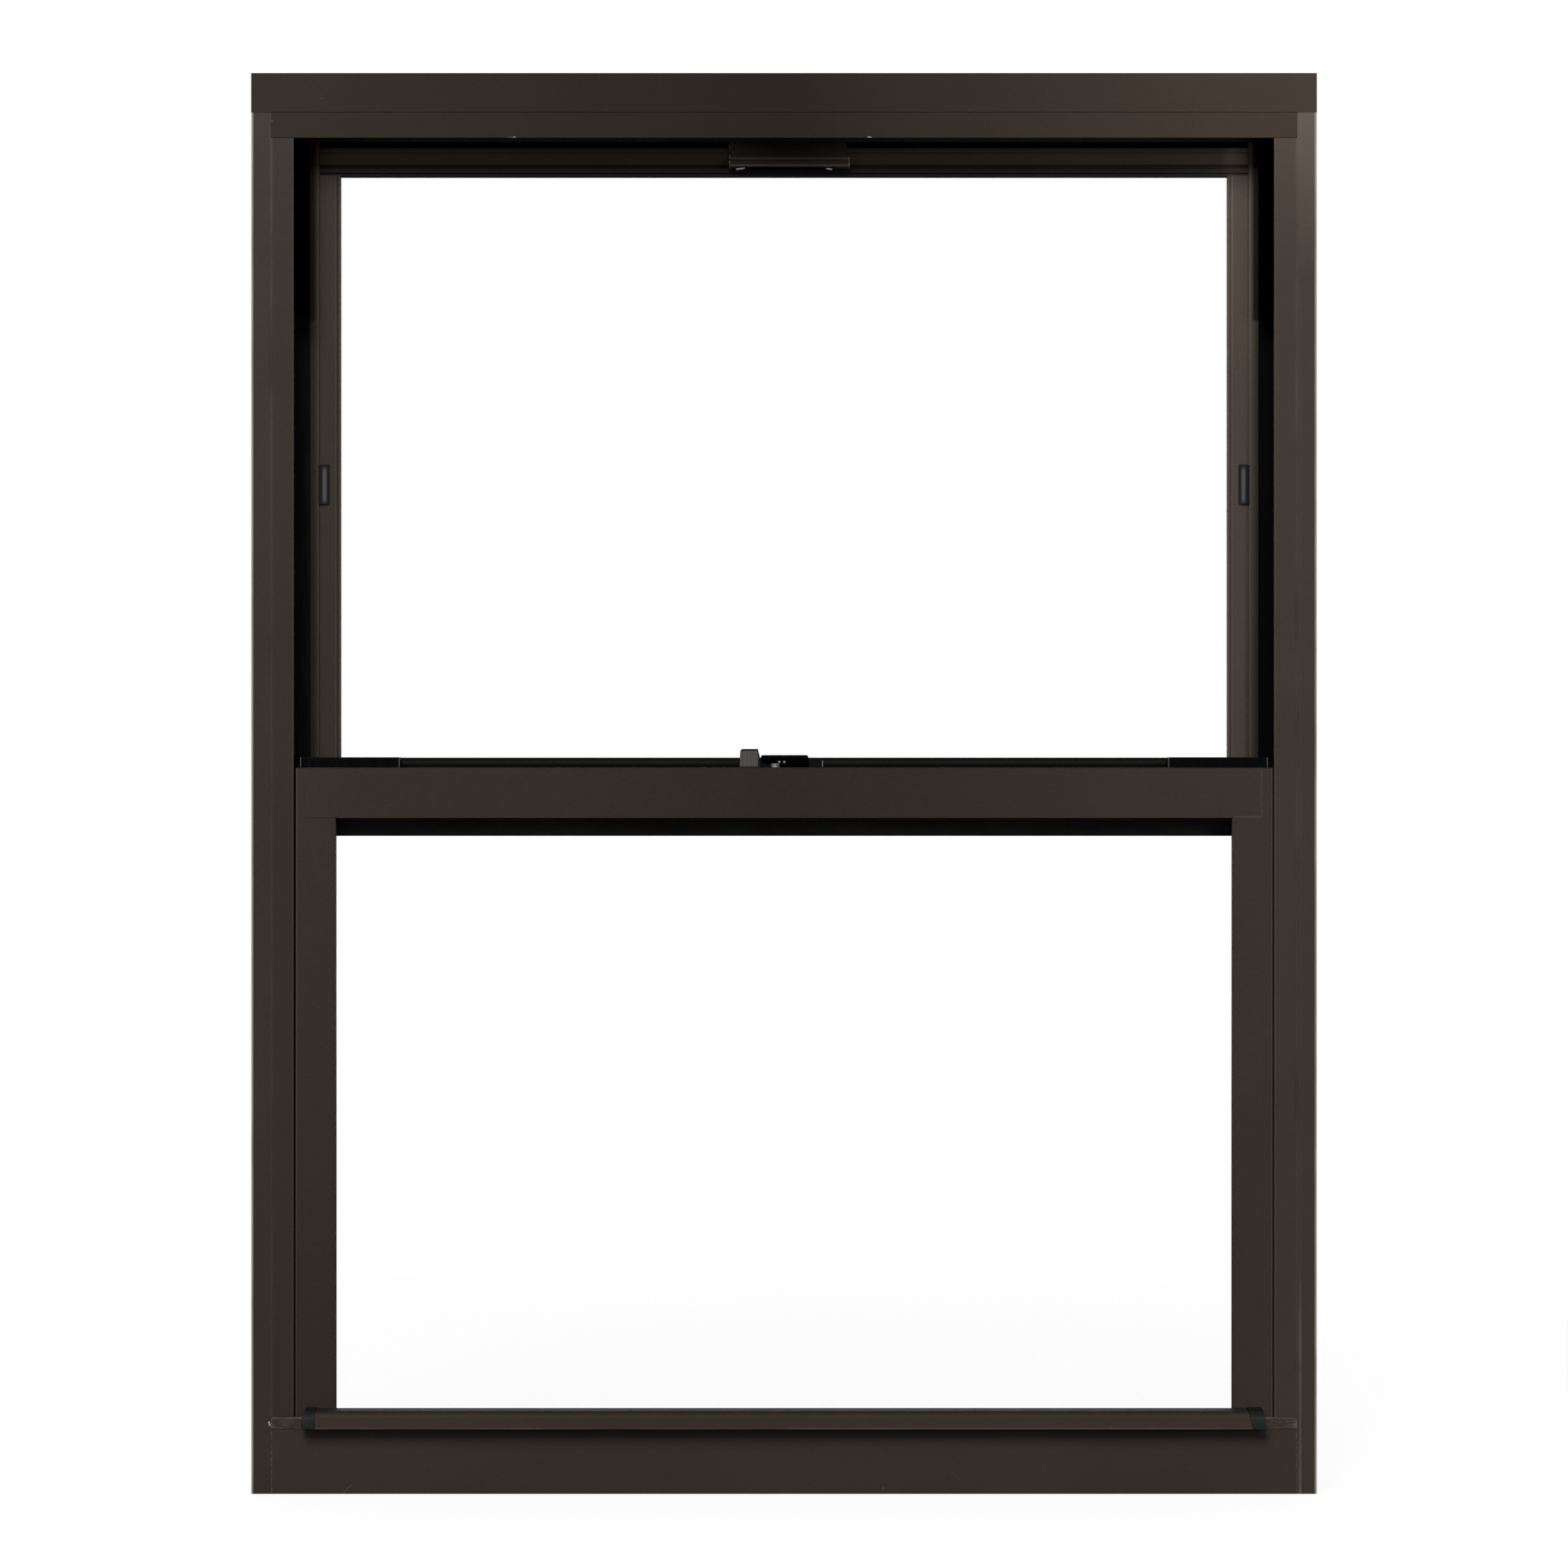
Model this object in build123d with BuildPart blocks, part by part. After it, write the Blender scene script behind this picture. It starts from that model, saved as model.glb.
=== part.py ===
"""Double hung window: a tilt-in pair of sashes in an aluminium frame, seen from the room.

Axes: X to the right, Y from the room to the outside, Z up.
The origin is the middle of the sill's underside; all sizes are millimetres.
"""
import os
from build123d import *

# Frame, from the wall opening it is sold for
FRAME_W = 914.4
FRAME_H = 1219.2
FRAME_D = 101.6
WALL = 2.4
JOINT = 0.2
SEAM = 0.06

# Bands of the frame that show from the room, and the fine lines drawn along them
JAMB_FACE = 36.9
OUTER_BAND = 17.2
HEAD_BAND = 33.8
HEAD_LIP = 21.9
SILL_FACE = 65.6
SILL_LEDGE = 9.8
LINE_W = 0.7
LINE_DEEP = 0.6
LINE_PITCH = 1.8
EDGE_R = 0.8
JAMB_EDGE_R = 1.6

# Depths inside the head and the sill
SOFFIT = 26.0
HEAD_POCKET_UP = 12.5
BLIND_DOWN = 13.5
DAM_T = 3.6
SILL_STEP = 6.0
SILL_FALL = 10.0
SCREEN_LIP_H = 7.0
WEEP_L = 22.0
WEEP_H = 4.0

# Tracks in the jambs, with their black liners and stop blocks
LIP_DEEP = 3.8
TRACK_DEEP = 10.7
BLIND_SHOW = 9.4
SCREEN_GROOVE = 4.0
SCREEN_DEEP = 5.0
LINER_T = 1.2
RIB_T = 1.4
RIB_H = 2.6
RIB_INSET = 0.3
PARTING_T = 3.0
PARTING_SHOW = 8.5
STOP_L = 149.0
STOP_EDGE_R = 1.2
SEAL_W = 14.0

# Sash sections
SASH_GAP = 0.3
SASH_SET = 4.8
SASH_D = 35.0
SASH_BETWEEN = 5.0
SASH_WALL = 2.0
LEG = 2.2
BACK_LEG_SHORT = 2.5
POCKET = 13.0
STILE_TUBE = 20.8
STILE_FACE = 32.5
LOWER_STRIP = 9.8
UPPER_STRIP = 16.8
STRIP_GROOVE = 1.1
STRIP_DEEP = 1.3
UPPER_EDGE_R = 2.0
RAIL_EDGE_R = 0.3

# Sash heights, from the frame's middle, the head's lip and the sill's dam
MEETING_UP = 13.65
MEETING_STEP = 7.65
LOWER_RAIL = 43.3
UPPER_MEETING = 66.9
HEAD_CLEAR = 2.0
UPPER_RAIL = 23.8
HORN = 6.5
SASH_DROP = 31.6
SIGHT_UP = 3.4
SASH_FOOT = 4.0

# Steps and grooves of the rails, and the interlock between the meeting pair
TOP_STEP = 1.4
TOP_STEP_H = 4.6
RAIL_GROOVE = 2.4
GROOVE_LOW = 6.6
GROOVE_HIGH = 8.9
FOOT_STEP = 2.2
FOOT_H = 2.2
SIGHT_STEP = 0.8
SIGHT_STEP_H = 1.85
HOOK_T = 1.0
HOOK_H = 6.0
HOOK_CLEAR = 0.4

# Glazing: a sealed unit of two panes between a room bead and an outer gasket
PANE = 3.0
PANE_AT = 7.5
UNIT = 19.0
GLASS_EDGE = 1.5
SPACER_W = 7.0
BEAD_SHOW = 2.5
BEAD_SLACK = 0.4
BEAD_BACK = 0.25
GASKET_W = 9.5

# Lift rail and its end caps
LIFT_SET = 7.4
LIFT_REACH = 20.8
LIFT_T = 2.4
LIFT_NOSE = 6.1
LIFT_UP = 7.5
LIFT_DOWN = 7.6
LIFT_FLANGE = 7.0
CAP_L = 11.6
CAP_OVER = 0.7
CAP_R = 4.0
CAP_CLEAR = 0.9
LIFT_SLANT = 3.8
CAP_LEAN = 3.0
CAP_SHOULDER = 7.0

# Head pull and the flat spring under it
PULL_L = 104.2
PULL_SHIFT = 4.7
PULL_DOWN = 18.3
PULL_LIP = 8.4
PULL_REACH = 15.0
PULL_T = 2.4
PULL_NOTCH = 2.2
PULL_LINE = 4.2
PULL_LINE_UP = 1.8
SPRING_L = 83.0
SPRING_BEND = 8.0
SPRING_DROP = 1.0
SPRING_T = 0.5
SPRING_W = 6.0

# Vent stops in the upper stiles
VENT_L = 34.0
VENT_W = 8.8
VENT_IN = 20.5
VENT_UP = 228.75
VENT_PROUD = 0.6
VENT_BULGE = 1.5
VENT_RECESS = 1.2
VENT_RIM = 0.5

# Tilt latches
LATCH_L = 85.5
LATCH_SET = 3.8
LATCH_H = 8.7
LATCH_MARGIN = 5.5
LATCH_NOSE = 9.2
LATCH_NOSE_W = 10.0
SLIDE_AT = 45.0
SLIDE_L = 22.0
SLIDE_W = 12.0
SLIDE_DEEP = 1.6
SLIDE_RIBS = 4

# Sweep lock
LOCK_L = 67.2
LOCK_W = 24.0
LOCK_SET = 9.0
LOCK_BASE_T = 2.0
HOUSE_L = 41.0
HOUSE_SHIFT = 0.5
HOUSE_H = 8.6
HOUSE_SET = 0.5
WING_H = 3.8
LEVER_OUT = 38.5
LEVER_W = 16.8
LEVER_T = 5.0
LEVER_SLOPE = 6.0
SWEEP_R = 7.1
ARM_H = 2.7
PIVOT_X = -7.5
PIVOT_R = 4.0
THUMB_RIBS = 9
RIB_SHARE = 0.6
KEEPER_L = 44.0
KEEPER_H = 19.0
KEEPER_T = 2.2

# Positions across the width
HALF_W = FRAME_W / 2
COPE_X = HALF_W - OUTER_BAND
JAMB_IN = HALF_W - JAMB_FACE
TRACK_X = JAMB_IN + TRACK_DEEP
LINER_X = TRACK_X - JOINT - LINER_T
PARTING_X = JAMB_IN - PARTING_SHOW
BLIND_X = JAMB_IN - BLIND_SHOW
SASH_X = JAMB_IN - SASH_GAP
TUBE_IN = SASH_X - STILE_TUBE
FACE_IN = SASH_X - STILE_FACE
DAYLIGHT = FACE_IN - BEAD_SHOW
LOWER_SEAM = SASH_X - LOWER_STRIP
UPPER_SEAM = SASH_X - UPPER_STRIP

# Positions through the depth
ROOM = -FRAME_D / 2
OUT = FRAME_D / 2
LIP_Y = ROOM + LIP_DEEP
DAM_Y = ROOM + DAM_T
SOFFIT_Y = ROOM + SOFFIT
LOWER_Y = ROOM + SASH_SET
LOWER_BACK = LOWER_Y + SASH_D
UPPER_Y = LOWER_BACK + SASH_BETWEEN
UPPER_BACK = UPPER_Y + SASH_D
PARTING_Y = LOWER_BACK + (SASH_BETWEEN - PARTING_T) / 2
BLIND_Y = UPPER_BACK + (SASH_BETWEEN - PARTING_T) / 2

# Heights
HEAD_SEAM = FRAME_H - HEAD_BAND
HEAD_LOW = HEAD_SEAM - HEAD_LIP
HEAD_POCKET = HEAD_LOW + HEAD_POCKET_UP
HEAD_BLIND = HEAD_LOW - BLIND_DOWN
LOWER_BOTTOM = SILL_FACE - SASH_DROP
LOWER_SIGHT = SILL_FACE + SIGHT_UP
SILL_FLOOR = LOWER_BOTTOM - SASH_FOOT
LOWER_TOP = FRAME_H / 2 + MEETING_UP
LOWER_RAIL_LOW = LOWER_TOP - LOWER_RAIL
UPPER_SIGHT = LOWER_TOP + MEETING_STEP
UPPER_BOTTOM = UPPER_SIGHT - UPPER_MEETING
UPPER_RAIL_TOP = HEAD_LOW - HEAD_CLEAR
UPPER_RAIL_LOW = UPPER_RAIL_TOP - UPPER_RAIL
UPPER_TOP = UPPER_RAIL_TOP + HORN

os.makedirs("parts", exist_ok=True)


def profile(outline, voids=(), corners=(), radius=EDGE_R):
    """A closed section with its hollows, the named corners rounded."""
    with BuildSketch() as section:
        with BuildLine():
            Polyline(*outline, close=True)
        make_face()
        if corners:
            found = [section.vertices().sort_by_distance((a, b, 0))[0] for a, b in corners]
            fillet(found, radius)
        for void in voids:
            with BuildLine():
                Polyline(*void, close=True)
            make_face(mode=Mode.SUBTRACT)
    return section.sketch


def along_x(section, x0, x1, mode=Mode.ADD):
    """Extrude a (Y, Z) section from x0 to x1 in the open part."""
    with BuildSketch(Plane.YZ.offset(x0)) as placed:
        add(section)
    extrude(placed.sketch, amount=x1 - x0, mode=mode)


def along_z(section, z0, z1):
    """Extrude an (X, Y) section from z0 to z1 in the open part."""
    with BuildSketch(Plane.XY.offset(z0)) as placed:
        add(section)
    extrude(placed.sketch, amount=z1 - z0)


def block(x, y, z, mode=Mode.ADD):
    """A box given by its limits on the three axes."""
    with Locations(((x[0] + x[1]) / 2, (y[0] + y[1]) / 2, (z[0] + z[1]) / 2)):
        Box(x[1] - x[0], y[1] - y[0], z[1] - z[0], mode=mode)


def rectangle(a0, a1, b0, b1):
    """The four corners of a rectangle, for use as an outline or a void."""
    return [(a0, b0), (a1, b0), (a1, b1), (a0, b1)]


def save(part, name):
    """Label a finished piece and write it."""
    part.label = name
    export_step(part, f"parts/{name}.step")


def save_mirrored(left, name):
    """Write the right-hand twin of a left-hand piece."""
    with BuildPart() as right:
        add(mirror(left.part, about=Plane.YZ))
    save(right.part, name)


def head_outline(grow=0.0):
    """The head's outer section; grow lowers its undersides to leave a joint at a cope."""
    low = HEAD_LOW - grow
    blind = HEAD_BLIND - grow
    pocket = HEAD_POCKET - grow
    return [
        (ROOM, low), (ROOM, FRAME_H), (OUT, FRAME_H), (OUT, blind), (BLIND_Y - grow, blind),
        (BLIND_Y - grow, pocket), (SOFFIT_Y + grow, pocket), (SOFFIT_Y + grow, low),
    ]


# Head: one hollow extrusion over the full width, its lower lip coped between the jambs
head_voids = [
    rectangle(ROOM + WALL, SOFFIT_Y - WALL, HEAD_LOW + WALL, FRAME_H - WALL),
    [
        (SOFFIT_Y, HEAD_POCKET + WALL), (SOFFIT_Y, FRAME_H - WALL), (OUT - WALL, FRAME_H - WALL),
        (OUT - WALL, HEAD_BLIND + WALL), (BLIND_Y + WALL, HEAD_BLIND + WALL),
        (BLIND_Y + WALL, HEAD_POCKET + WALL),
    ],
]
with BuildPart() as head:
    section = profile(head_outline(), head_voids, [(ROOM, HEAD_LOW), (ROOM, FRAME_H), (OUT, FRAME_H)])
    along_x(section, -HALF_W, HALF_W)
    for end in ((-HALF_W, -COPE_X), (COPE_X, HALF_W)):
        block(end, (ROOM - WALL, OUT + WALL), (HEAD_BLIND - WALL, HEAD_SEAM), Mode.SUBTRACT)
    seam = (HEAD_SEAM - LINE_W / 2, HEAD_SEAM + LINE_W / 2)
    block((-COPE_X, COPE_X), (ROOM - WALL, ROOM + LINE_DEEP), seam, Mode.SUBTRACT)
save(head.part, "head")


def sill_outline(grow=0.0):
    """The sill's outer section; grow lifts its upper faces to leave a joint at a cope."""
    floor = SILL_FLOOR + grow
    step = floor - SILL_STEP
    nose = step - SILL_FALL
    lip_y = (BLIND_Y + OUT) / 2
    lip_z = step - SILL_FALL * (lip_y - PARTING_Y) / (OUT - PARTING_Y)
    return [
        (ROOM, 0), (ROOM, SILL_FACE + grow), (DAM_Y + grow, SILL_FACE + grow), (DAM_Y + grow, floor),
        (PARTING_Y + grow, floor), (PARTING_Y + grow, step), (lip_y - grow, lip_z),
        (lip_y - grow, lip_z + SCREEN_LIP_H), (lip_y + DAM_T / 2 + grow, lip_z + SCREEN_LIP_H),
        (lip_y + DAM_T / 2 + grow, lip_z), (OUT, nose), (OUT, 0),
    ]


# Sill: a hollow extrusion between the jambs, with the dam leg that shows from the room
sill_step_z = SILL_FLOOR - SILL_STEP - WALL
sill_void = [
    (ROOM + WALL, WALL), (ROOM + WALL, SILL_FLOOR - WALL), (PARTING_Y - WALL, SILL_FLOOR - WALL),
    (PARTING_Y - WALL, sill_step_z), (OUT - WALL, sill_step_z - SILL_FALL), (OUT - WALL, WALL),
]
with BuildPart() as sill:
    along_x(profile(sill_outline(), [sill_void], [(ROOM, SILL_FACE)]), -COPE_X, COPE_X)
    ledge = SILL_FACE - SILL_LEDGE
    face_y = (ROOM - WALL, ROOM + LINE_DEEP)
    block((-COPE_X, COPE_X), face_y, (ledge - LINE_W, ledge), Mode.SUBTRACT)
    for weep_x in (-COPE_X / 2, COPE_X / 2):
        weep = (weep_x - WEEP_L / 2, weep_x + WEEP_L / 2)
        block(weep, (OUT - 2 * WALL, OUT + WALL), (WALL, WALL + WEEP_H), Mode.SUBTRACT)
save(sill.part, "sill")

# Jambs: hollow extrusions with an open room-side track, coped over the head's lip and the sill
screen_y0 = (BLIND_Y + OUT - SCREEN_GROOVE) / 2
screen_y1 = screen_y0 + SCREEN_GROOVE
jamb_outline = [
    (-HALF_W, ROOM), (-JAMB_IN, ROOM), (-JAMB_IN, LIP_Y), (-TRACK_X, LIP_Y),
    (-TRACK_X, BLIND_Y), (-BLIND_X, BLIND_Y), (-BLIND_X, screen_y0),
    (-BLIND_X - SCREEN_DEEP, screen_y0), (-BLIND_X - SCREEN_DEEP, screen_y1),
    (-BLIND_X, screen_y1), (-BLIND_X, OUT), (-HALF_W, OUT),
]
jamb_side = -HALF_W + WALL
jamb_web = PARTING_Y + PARTING_T / 2
jamb_voids = [
    rectangle(jamb_side, -TRACK_X - WALL, ROOM + WALL, jamb_web - WALL / 2),
    rectangle(jamb_side, -TRACK_X - WALL, jamb_web + WALL / 2, BLIND_Y),
    rectangle(jamb_side, -BLIND_X - SCREEN_DEEP - WALL, BLIND_Y + WALL, OUT - WALL),
]
with BuildPart() as left_jamb:
    section = profile(jamb_outline, jamb_voids, [(-HALF_W, ROOM), (-HALF_W, OUT)], JAMB_EDGE_R)
    along_z(section, 0, HEAD_SEAM - JOINT)
    fillet(left_jamb.edges().filter_by(Axis.Z).sort_by_distance((-JAMB_IN, ROOM, HEAD_SEAM / 2))[0], EDGE_R)
    for middle in (-COPE_X - LINE_PITCH / 2, -COPE_X + LINE_PITCH / 2):
        line = (middle - LINE_W / 2, middle + LINE_W / 2)
        block(line, (ROOM - WALL, ROOM + LINE_DEEP), (0, HEAD_SEAM), Mode.SUBTRACT)
    along_x(profile(head_outline(JOINT)), -COPE_X - JOINT, -BLIND_X + WALL, Mode.SUBTRACT)
    along_x(profile(sill_outline(JOINT)), -COPE_X - JOINT, -BLIND_X + WALL, Mode.SUBTRACT)
save(left_jamb.part, "left_jamb")
save_mirrored(left_jamb, "right_jamb")


def liner_ribs(y0, z0, z1):
    """Two guide ribs along a liner's web, for a sash whose room face is at y0."""
    for share in (RIB_INSET, 1 - RIB_INSET):
        rib_y = y0 + share * SASH_D
        block((-LINER_X, -LINER_X + RIB_H), (rib_y, rib_y + RIB_T), (z0, z1))


# Room-side track liners: black vinyl snapped into the jambs, with the parting leg between the sashes
liner_front = LIP_Y + JOINT
liner_z = (SILL_FLOOR + 2 * JOINT, HEAD_LOW - 2 * JOINT)
room_liner = [
    (-TRACK_X + JOINT, liner_front), (-JAMB_IN - JOINT, liner_front),
    (-JAMB_IN - JOINT, liner_front + LINER_T), (-LINER_X, liner_front + LINER_T),
    (-LINER_X, PARTING_Y), (-PARTING_X, PARTING_Y),
    (-PARTING_X, PARTING_Y + PARTING_T), (-TRACK_X + JOINT, PARTING_Y + PARTING_T),
]
with BuildPart() as left_track_liner:
    along_z(profile(room_liner), *liner_z)
    liner_ribs(LOWER_Y, *liner_z)
save(left_track_liner.part, "left_track_liner")
save_mirrored(left_track_liner, "right_track_liner")

# Outer track liners, for the upper sash
outer_liner_z = (SILL_FLOOR + 2 * JOINT, HEAD_POCKET - 2 * JOINT)
outer_liner = rectangle(
    -TRACK_X + JOINT, -LINER_X, PARTING_Y + PARTING_T + JOINT, BLIND_Y - JOINT,
)
with BuildPart() as left_outer_liner:
    along_z(profile(outer_liner), *outer_liner_z)
    liner_ribs(UPPER_Y, *outer_liner_z)
save(left_outer_liner.part, "left_outer_liner")
save_mirrored(left_outer_liner, "right_outer_liner")

# Stop blocks: lengths of black channel at the head of the room-side tracks, for the lower sash
with BuildPart() as left_stop_block:
    stop_x = (-LINER_X + RIB_H + JOINT, -PARTING_X + JOINT)
    stop_y = (liner_front + LINER_T + JOINT, PARTING_Y - JOINT)
    block(stop_x, stop_y, (HEAD_LOW - STOP_L, HEAD_LOW - 2 * JOINT))
    fillet(left_stop_block.edges().filter_by(Axis.Z).group_by(Axis.X)[-1], STOP_EDGE_R)
    chamfer(left_stop_block.edges().group_by(Axis.Z)[0], STOP_EDGE_R / 2)
save(left_stop_block.part, "left_stop_block")
save_mirrored(left_stop_block, "right_stop_block")

# Head seal: the black bulb strip in the head's pocket that the upper sash closes against
seal_y = (UPPER_Y + UPPER_BACK - SEAL_W) / 2
seal_low = UPPER_RAIL_TOP + JOINT
seal_high = HEAD_POCKET - JOINT
with BuildPart() as head_seal:
    seal = rectangle(seal_y, seal_y + SEAL_W, seal_low, seal_high)
    bulb = [(seal_y, seal_low), (seal_y + SEAL_W, seal_low)]
    along_x(profile(seal, (), bulb, SEAL_W / 3), -UPPER_SEAM + JOINT, UPPER_SEAM - JOINT)
save(head_seal.part, "head_seal")


def stile_outline(y0):
    """A left stile's section: a tube with a glazing leg on each side of the glass."""
    back = y0 + SASH_D
    back_leg = -DAYLIGHT - BEAD_SHOW - BACK_LEG_SHORT
    return [
        (-SASH_X, y0), (-FACE_IN, y0), (-FACE_IN, y0 + LEG), (-TUBE_IN, y0 + LEG),
        (-TUBE_IN, back - LEG), (back_leg, back - LEG), (back_leg, back), (-SASH_X, back),
    ]


def stile_void(y0):
    """The hollow of a left stile's tube."""
    return rectangle(
        -SASH_X + SASH_WALL, -TUBE_IN - SASH_WALL, y0 + SASH_WALL, y0 + SASH_D - SASH_WALL,
    )


def cut_for_rails(seam, y0, top, low):
    """Cut a left stile back to its outer strip above top and below low, where the rails lie."""
    across = (-seam - SEAM, -DAYLIGHT)
    depth = (y0 - WALL, y0 + SASH_D + WALL)
    block(across, depth, (top - SEAM, HEAD_SEAM), Mode.SUBTRACT)
    block(across, depth, (0, low + SEAM), Mode.SUBTRACT)


# Lower sash stiles: the outer strip runs full height, the rest is cut back for the rails
with BuildPart() as lower_left_stile:
    section = profile(stile_outline(LOWER_Y), [stile_void(LOWER_Y)], [(-SASH_X, LOWER_Y)])
    along_z(section, LOWER_BOTTOM, LOWER_TOP)
    cut_for_rails(LOWER_SEAM, LOWER_Y, LOWER_RAIL_LOW, LOWER_SIGHT)
save(lower_left_stile.part, "lower_left_stile")
save_mirrored(lower_left_stile, "lower_right_stile")

# Lower sash top rail, the front one of the meeting pair, with its half of the interlock behind
hook_z = LOWER_TOP - LOWER_RAIL / 2
hook_run = SASH_BETWEEN - HOOK_T - HOOK_CLEAR
lower_glass_top = LOWER_RAIL_LOW + POCKET
top_rail_outline = [
    (LOWER_Y, LOWER_RAIL_LOW), (LOWER_Y, LOWER_TOP), (LOWER_BACK, LOWER_TOP), (LOWER_BACK, hook_z),
    (LOWER_BACK + hook_run, hook_z), (LOWER_BACK + hook_run, hook_z - HOOK_H),
    (LOWER_BACK + hook_run - HOOK_T, hook_z - HOOK_H), (LOWER_BACK + hook_run - HOOK_T, hook_z - HOOK_T),
    (LOWER_BACK, hook_z - HOOK_T), (LOWER_BACK, LOWER_RAIL_LOW + BACK_LEG_SHORT),
    (LOWER_BACK - LEG, LOWER_RAIL_LOW + BACK_LEG_SHORT), (LOWER_BACK - LEG, lower_glass_top),
    (LOWER_Y + LEG, lower_glass_top), (LOWER_Y + LEG, LOWER_RAIL_LOW),
]
top_rail_void = rectangle(
    LOWER_Y + SASH_WALL, LOWER_BACK - SASH_WALL, lower_glass_top + SASH_WALL, LOWER_TOP - SASH_WALL,
)
with BuildPart() as lower_top_rail:
    edges = [(LOWER_Y, LOWER_TOP), (LOWER_Y, LOWER_RAIL_LOW)]
    section = profile(top_rail_outline, [top_rail_void], edges, RAIL_EDGE_R)
    along_x(section, -LOWER_SEAM, LOWER_SEAM)
save(lower_top_rail.part, "lower_top_rail")

# Lower sash bottom rail, behind the sill's dam leg
lower_glass_low = LOWER_SIGHT - POCKET
bottom_rail_outline = [
    (LOWER_Y, LOWER_BOTTOM), (LOWER_Y, LOWER_SIGHT), (LOWER_Y + LEG, LOWER_SIGHT),
    (LOWER_Y + LEG, lower_glass_low), (LOWER_BACK - LEG, lower_glass_low),
    (LOWER_BACK - LEG, LOWER_SIGHT - BACK_LEG_SHORT), (LOWER_BACK, LOWER_SIGHT - BACK_LEG_SHORT),
    (LOWER_BACK, LOWER_BOTTOM),
]
bottom_rail_void = rectangle(
    LOWER_Y + SASH_WALL, LOWER_BACK - SASH_WALL, LOWER_BOTTOM + SASH_WALL, lower_glass_low - SASH_WALL,
)
with BuildPart() as lower_bottom_rail:
    along_x(profile(bottom_rail_outline, [bottom_rail_void]), -LOWER_SEAM, LOWER_SEAM)
save(lower_bottom_rail.part, "lower_bottom_rail")

# Upper sash stiles: grooved beside the outer strip, with a recess for the vent stop
vent_x = SASH_X - VENT_IN
vent_z = (LOWER_TOP + VENT_UP, LOWER_TOP + VENT_UP + VENT_L)
with BuildPart() as upper_left_stile:
    section = profile(
        stile_outline(UPPER_Y), [stile_void(UPPER_Y)], [(-FACE_IN, UPPER_Y)], UPPER_EDGE_R,
    )
    along_z(section, UPPER_BOTTOM, UPPER_TOP)
    groove = (-UPPER_SEAM - STRIP_GROOVE / 2, -UPPER_SEAM + STRIP_GROOVE / 2)
    block(groove, (UPPER_Y - WALL, UPPER_Y + STRIP_DEEP), (UPPER_BOTTOM, UPPER_TOP), Mode.SUBTRACT)
    recess_x = (-vent_x - VENT_W / 2 - VENT_RIM, -vent_x + VENT_W / 2 + VENT_RIM)
    recess_z = (vent_z[0] - VENT_RIM, vent_z[1] + VENT_RIM)
    block(recess_x, (UPPER_Y - WALL, UPPER_Y + VENT_RECESS), recess_z, Mode.SUBTRACT)
    cut_for_rails(UPPER_SEAM, UPPER_Y, UPPER_RAIL_LOW, UPPER_SIGHT)
save(upper_left_stile.part, "upper_left_stile")
save_mirrored(upper_left_stile, "upper_right_stile")

# Upper sash top rail, stepped and grooved along its room face
upper_glass_top = UPPER_RAIL_LOW + POCKET
front_wall = FOOT_STEP + SASH_WALL
upper_top_outline = [
    (UPPER_Y + FOOT_STEP, UPPER_RAIL_LOW), (UPPER_Y + FOOT_STEP, UPPER_RAIL_LOW + FOOT_H),
    (UPPER_Y, UPPER_RAIL_LOW + FOOT_H), (UPPER_Y, UPPER_RAIL_LOW + GROOVE_LOW),
    (UPPER_Y + RAIL_GROOVE, UPPER_RAIL_LOW + GROOVE_LOW),
    (UPPER_Y + RAIL_GROOVE, UPPER_RAIL_LOW + GROOVE_HIGH),
    (UPPER_Y, UPPER_RAIL_LOW + GROOVE_HIGH), (UPPER_Y, UPPER_RAIL_TOP - TOP_STEP_H),
    (UPPER_Y + TOP_STEP, UPPER_RAIL_TOP - TOP_STEP_H), (UPPER_Y + TOP_STEP, UPPER_RAIL_TOP),
    (UPPER_BACK, UPPER_RAIL_TOP), (UPPER_BACK, UPPER_RAIL_LOW + BACK_LEG_SHORT),
    (UPPER_BACK - LEG, UPPER_RAIL_LOW + BACK_LEG_SHORT), (UPPER_BACK - LEG, upper_glass_top),
    (UPPER_Y + front_wall, upper_glass_top), (UPPER_Y + front_wall, UPPER_RAIL_LOW),
]
upper_top_void = rectangle(
    UPPER_Y + front_wall, UPPER_BACK - SASH_WALL, upper_glass_top + SASH_WALL, UPPER_RAIL_TOP - SASH_WALL,
)
with BuildPart() as upper_top_rail:
    edges = [(UPPER_Y, UPPER_RAIL_LOW + GROOVE_HIGH), (UPPER_Y, UPPER_RAIL_LOW + GROOVE_LOW)]
    along_x(profile(upper_top_outline, [upper_top_void], edges), -UPPER_SEAM, UPPER_SEAM)
save(upper_top_rail.part, "upper_top_rail")

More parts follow.
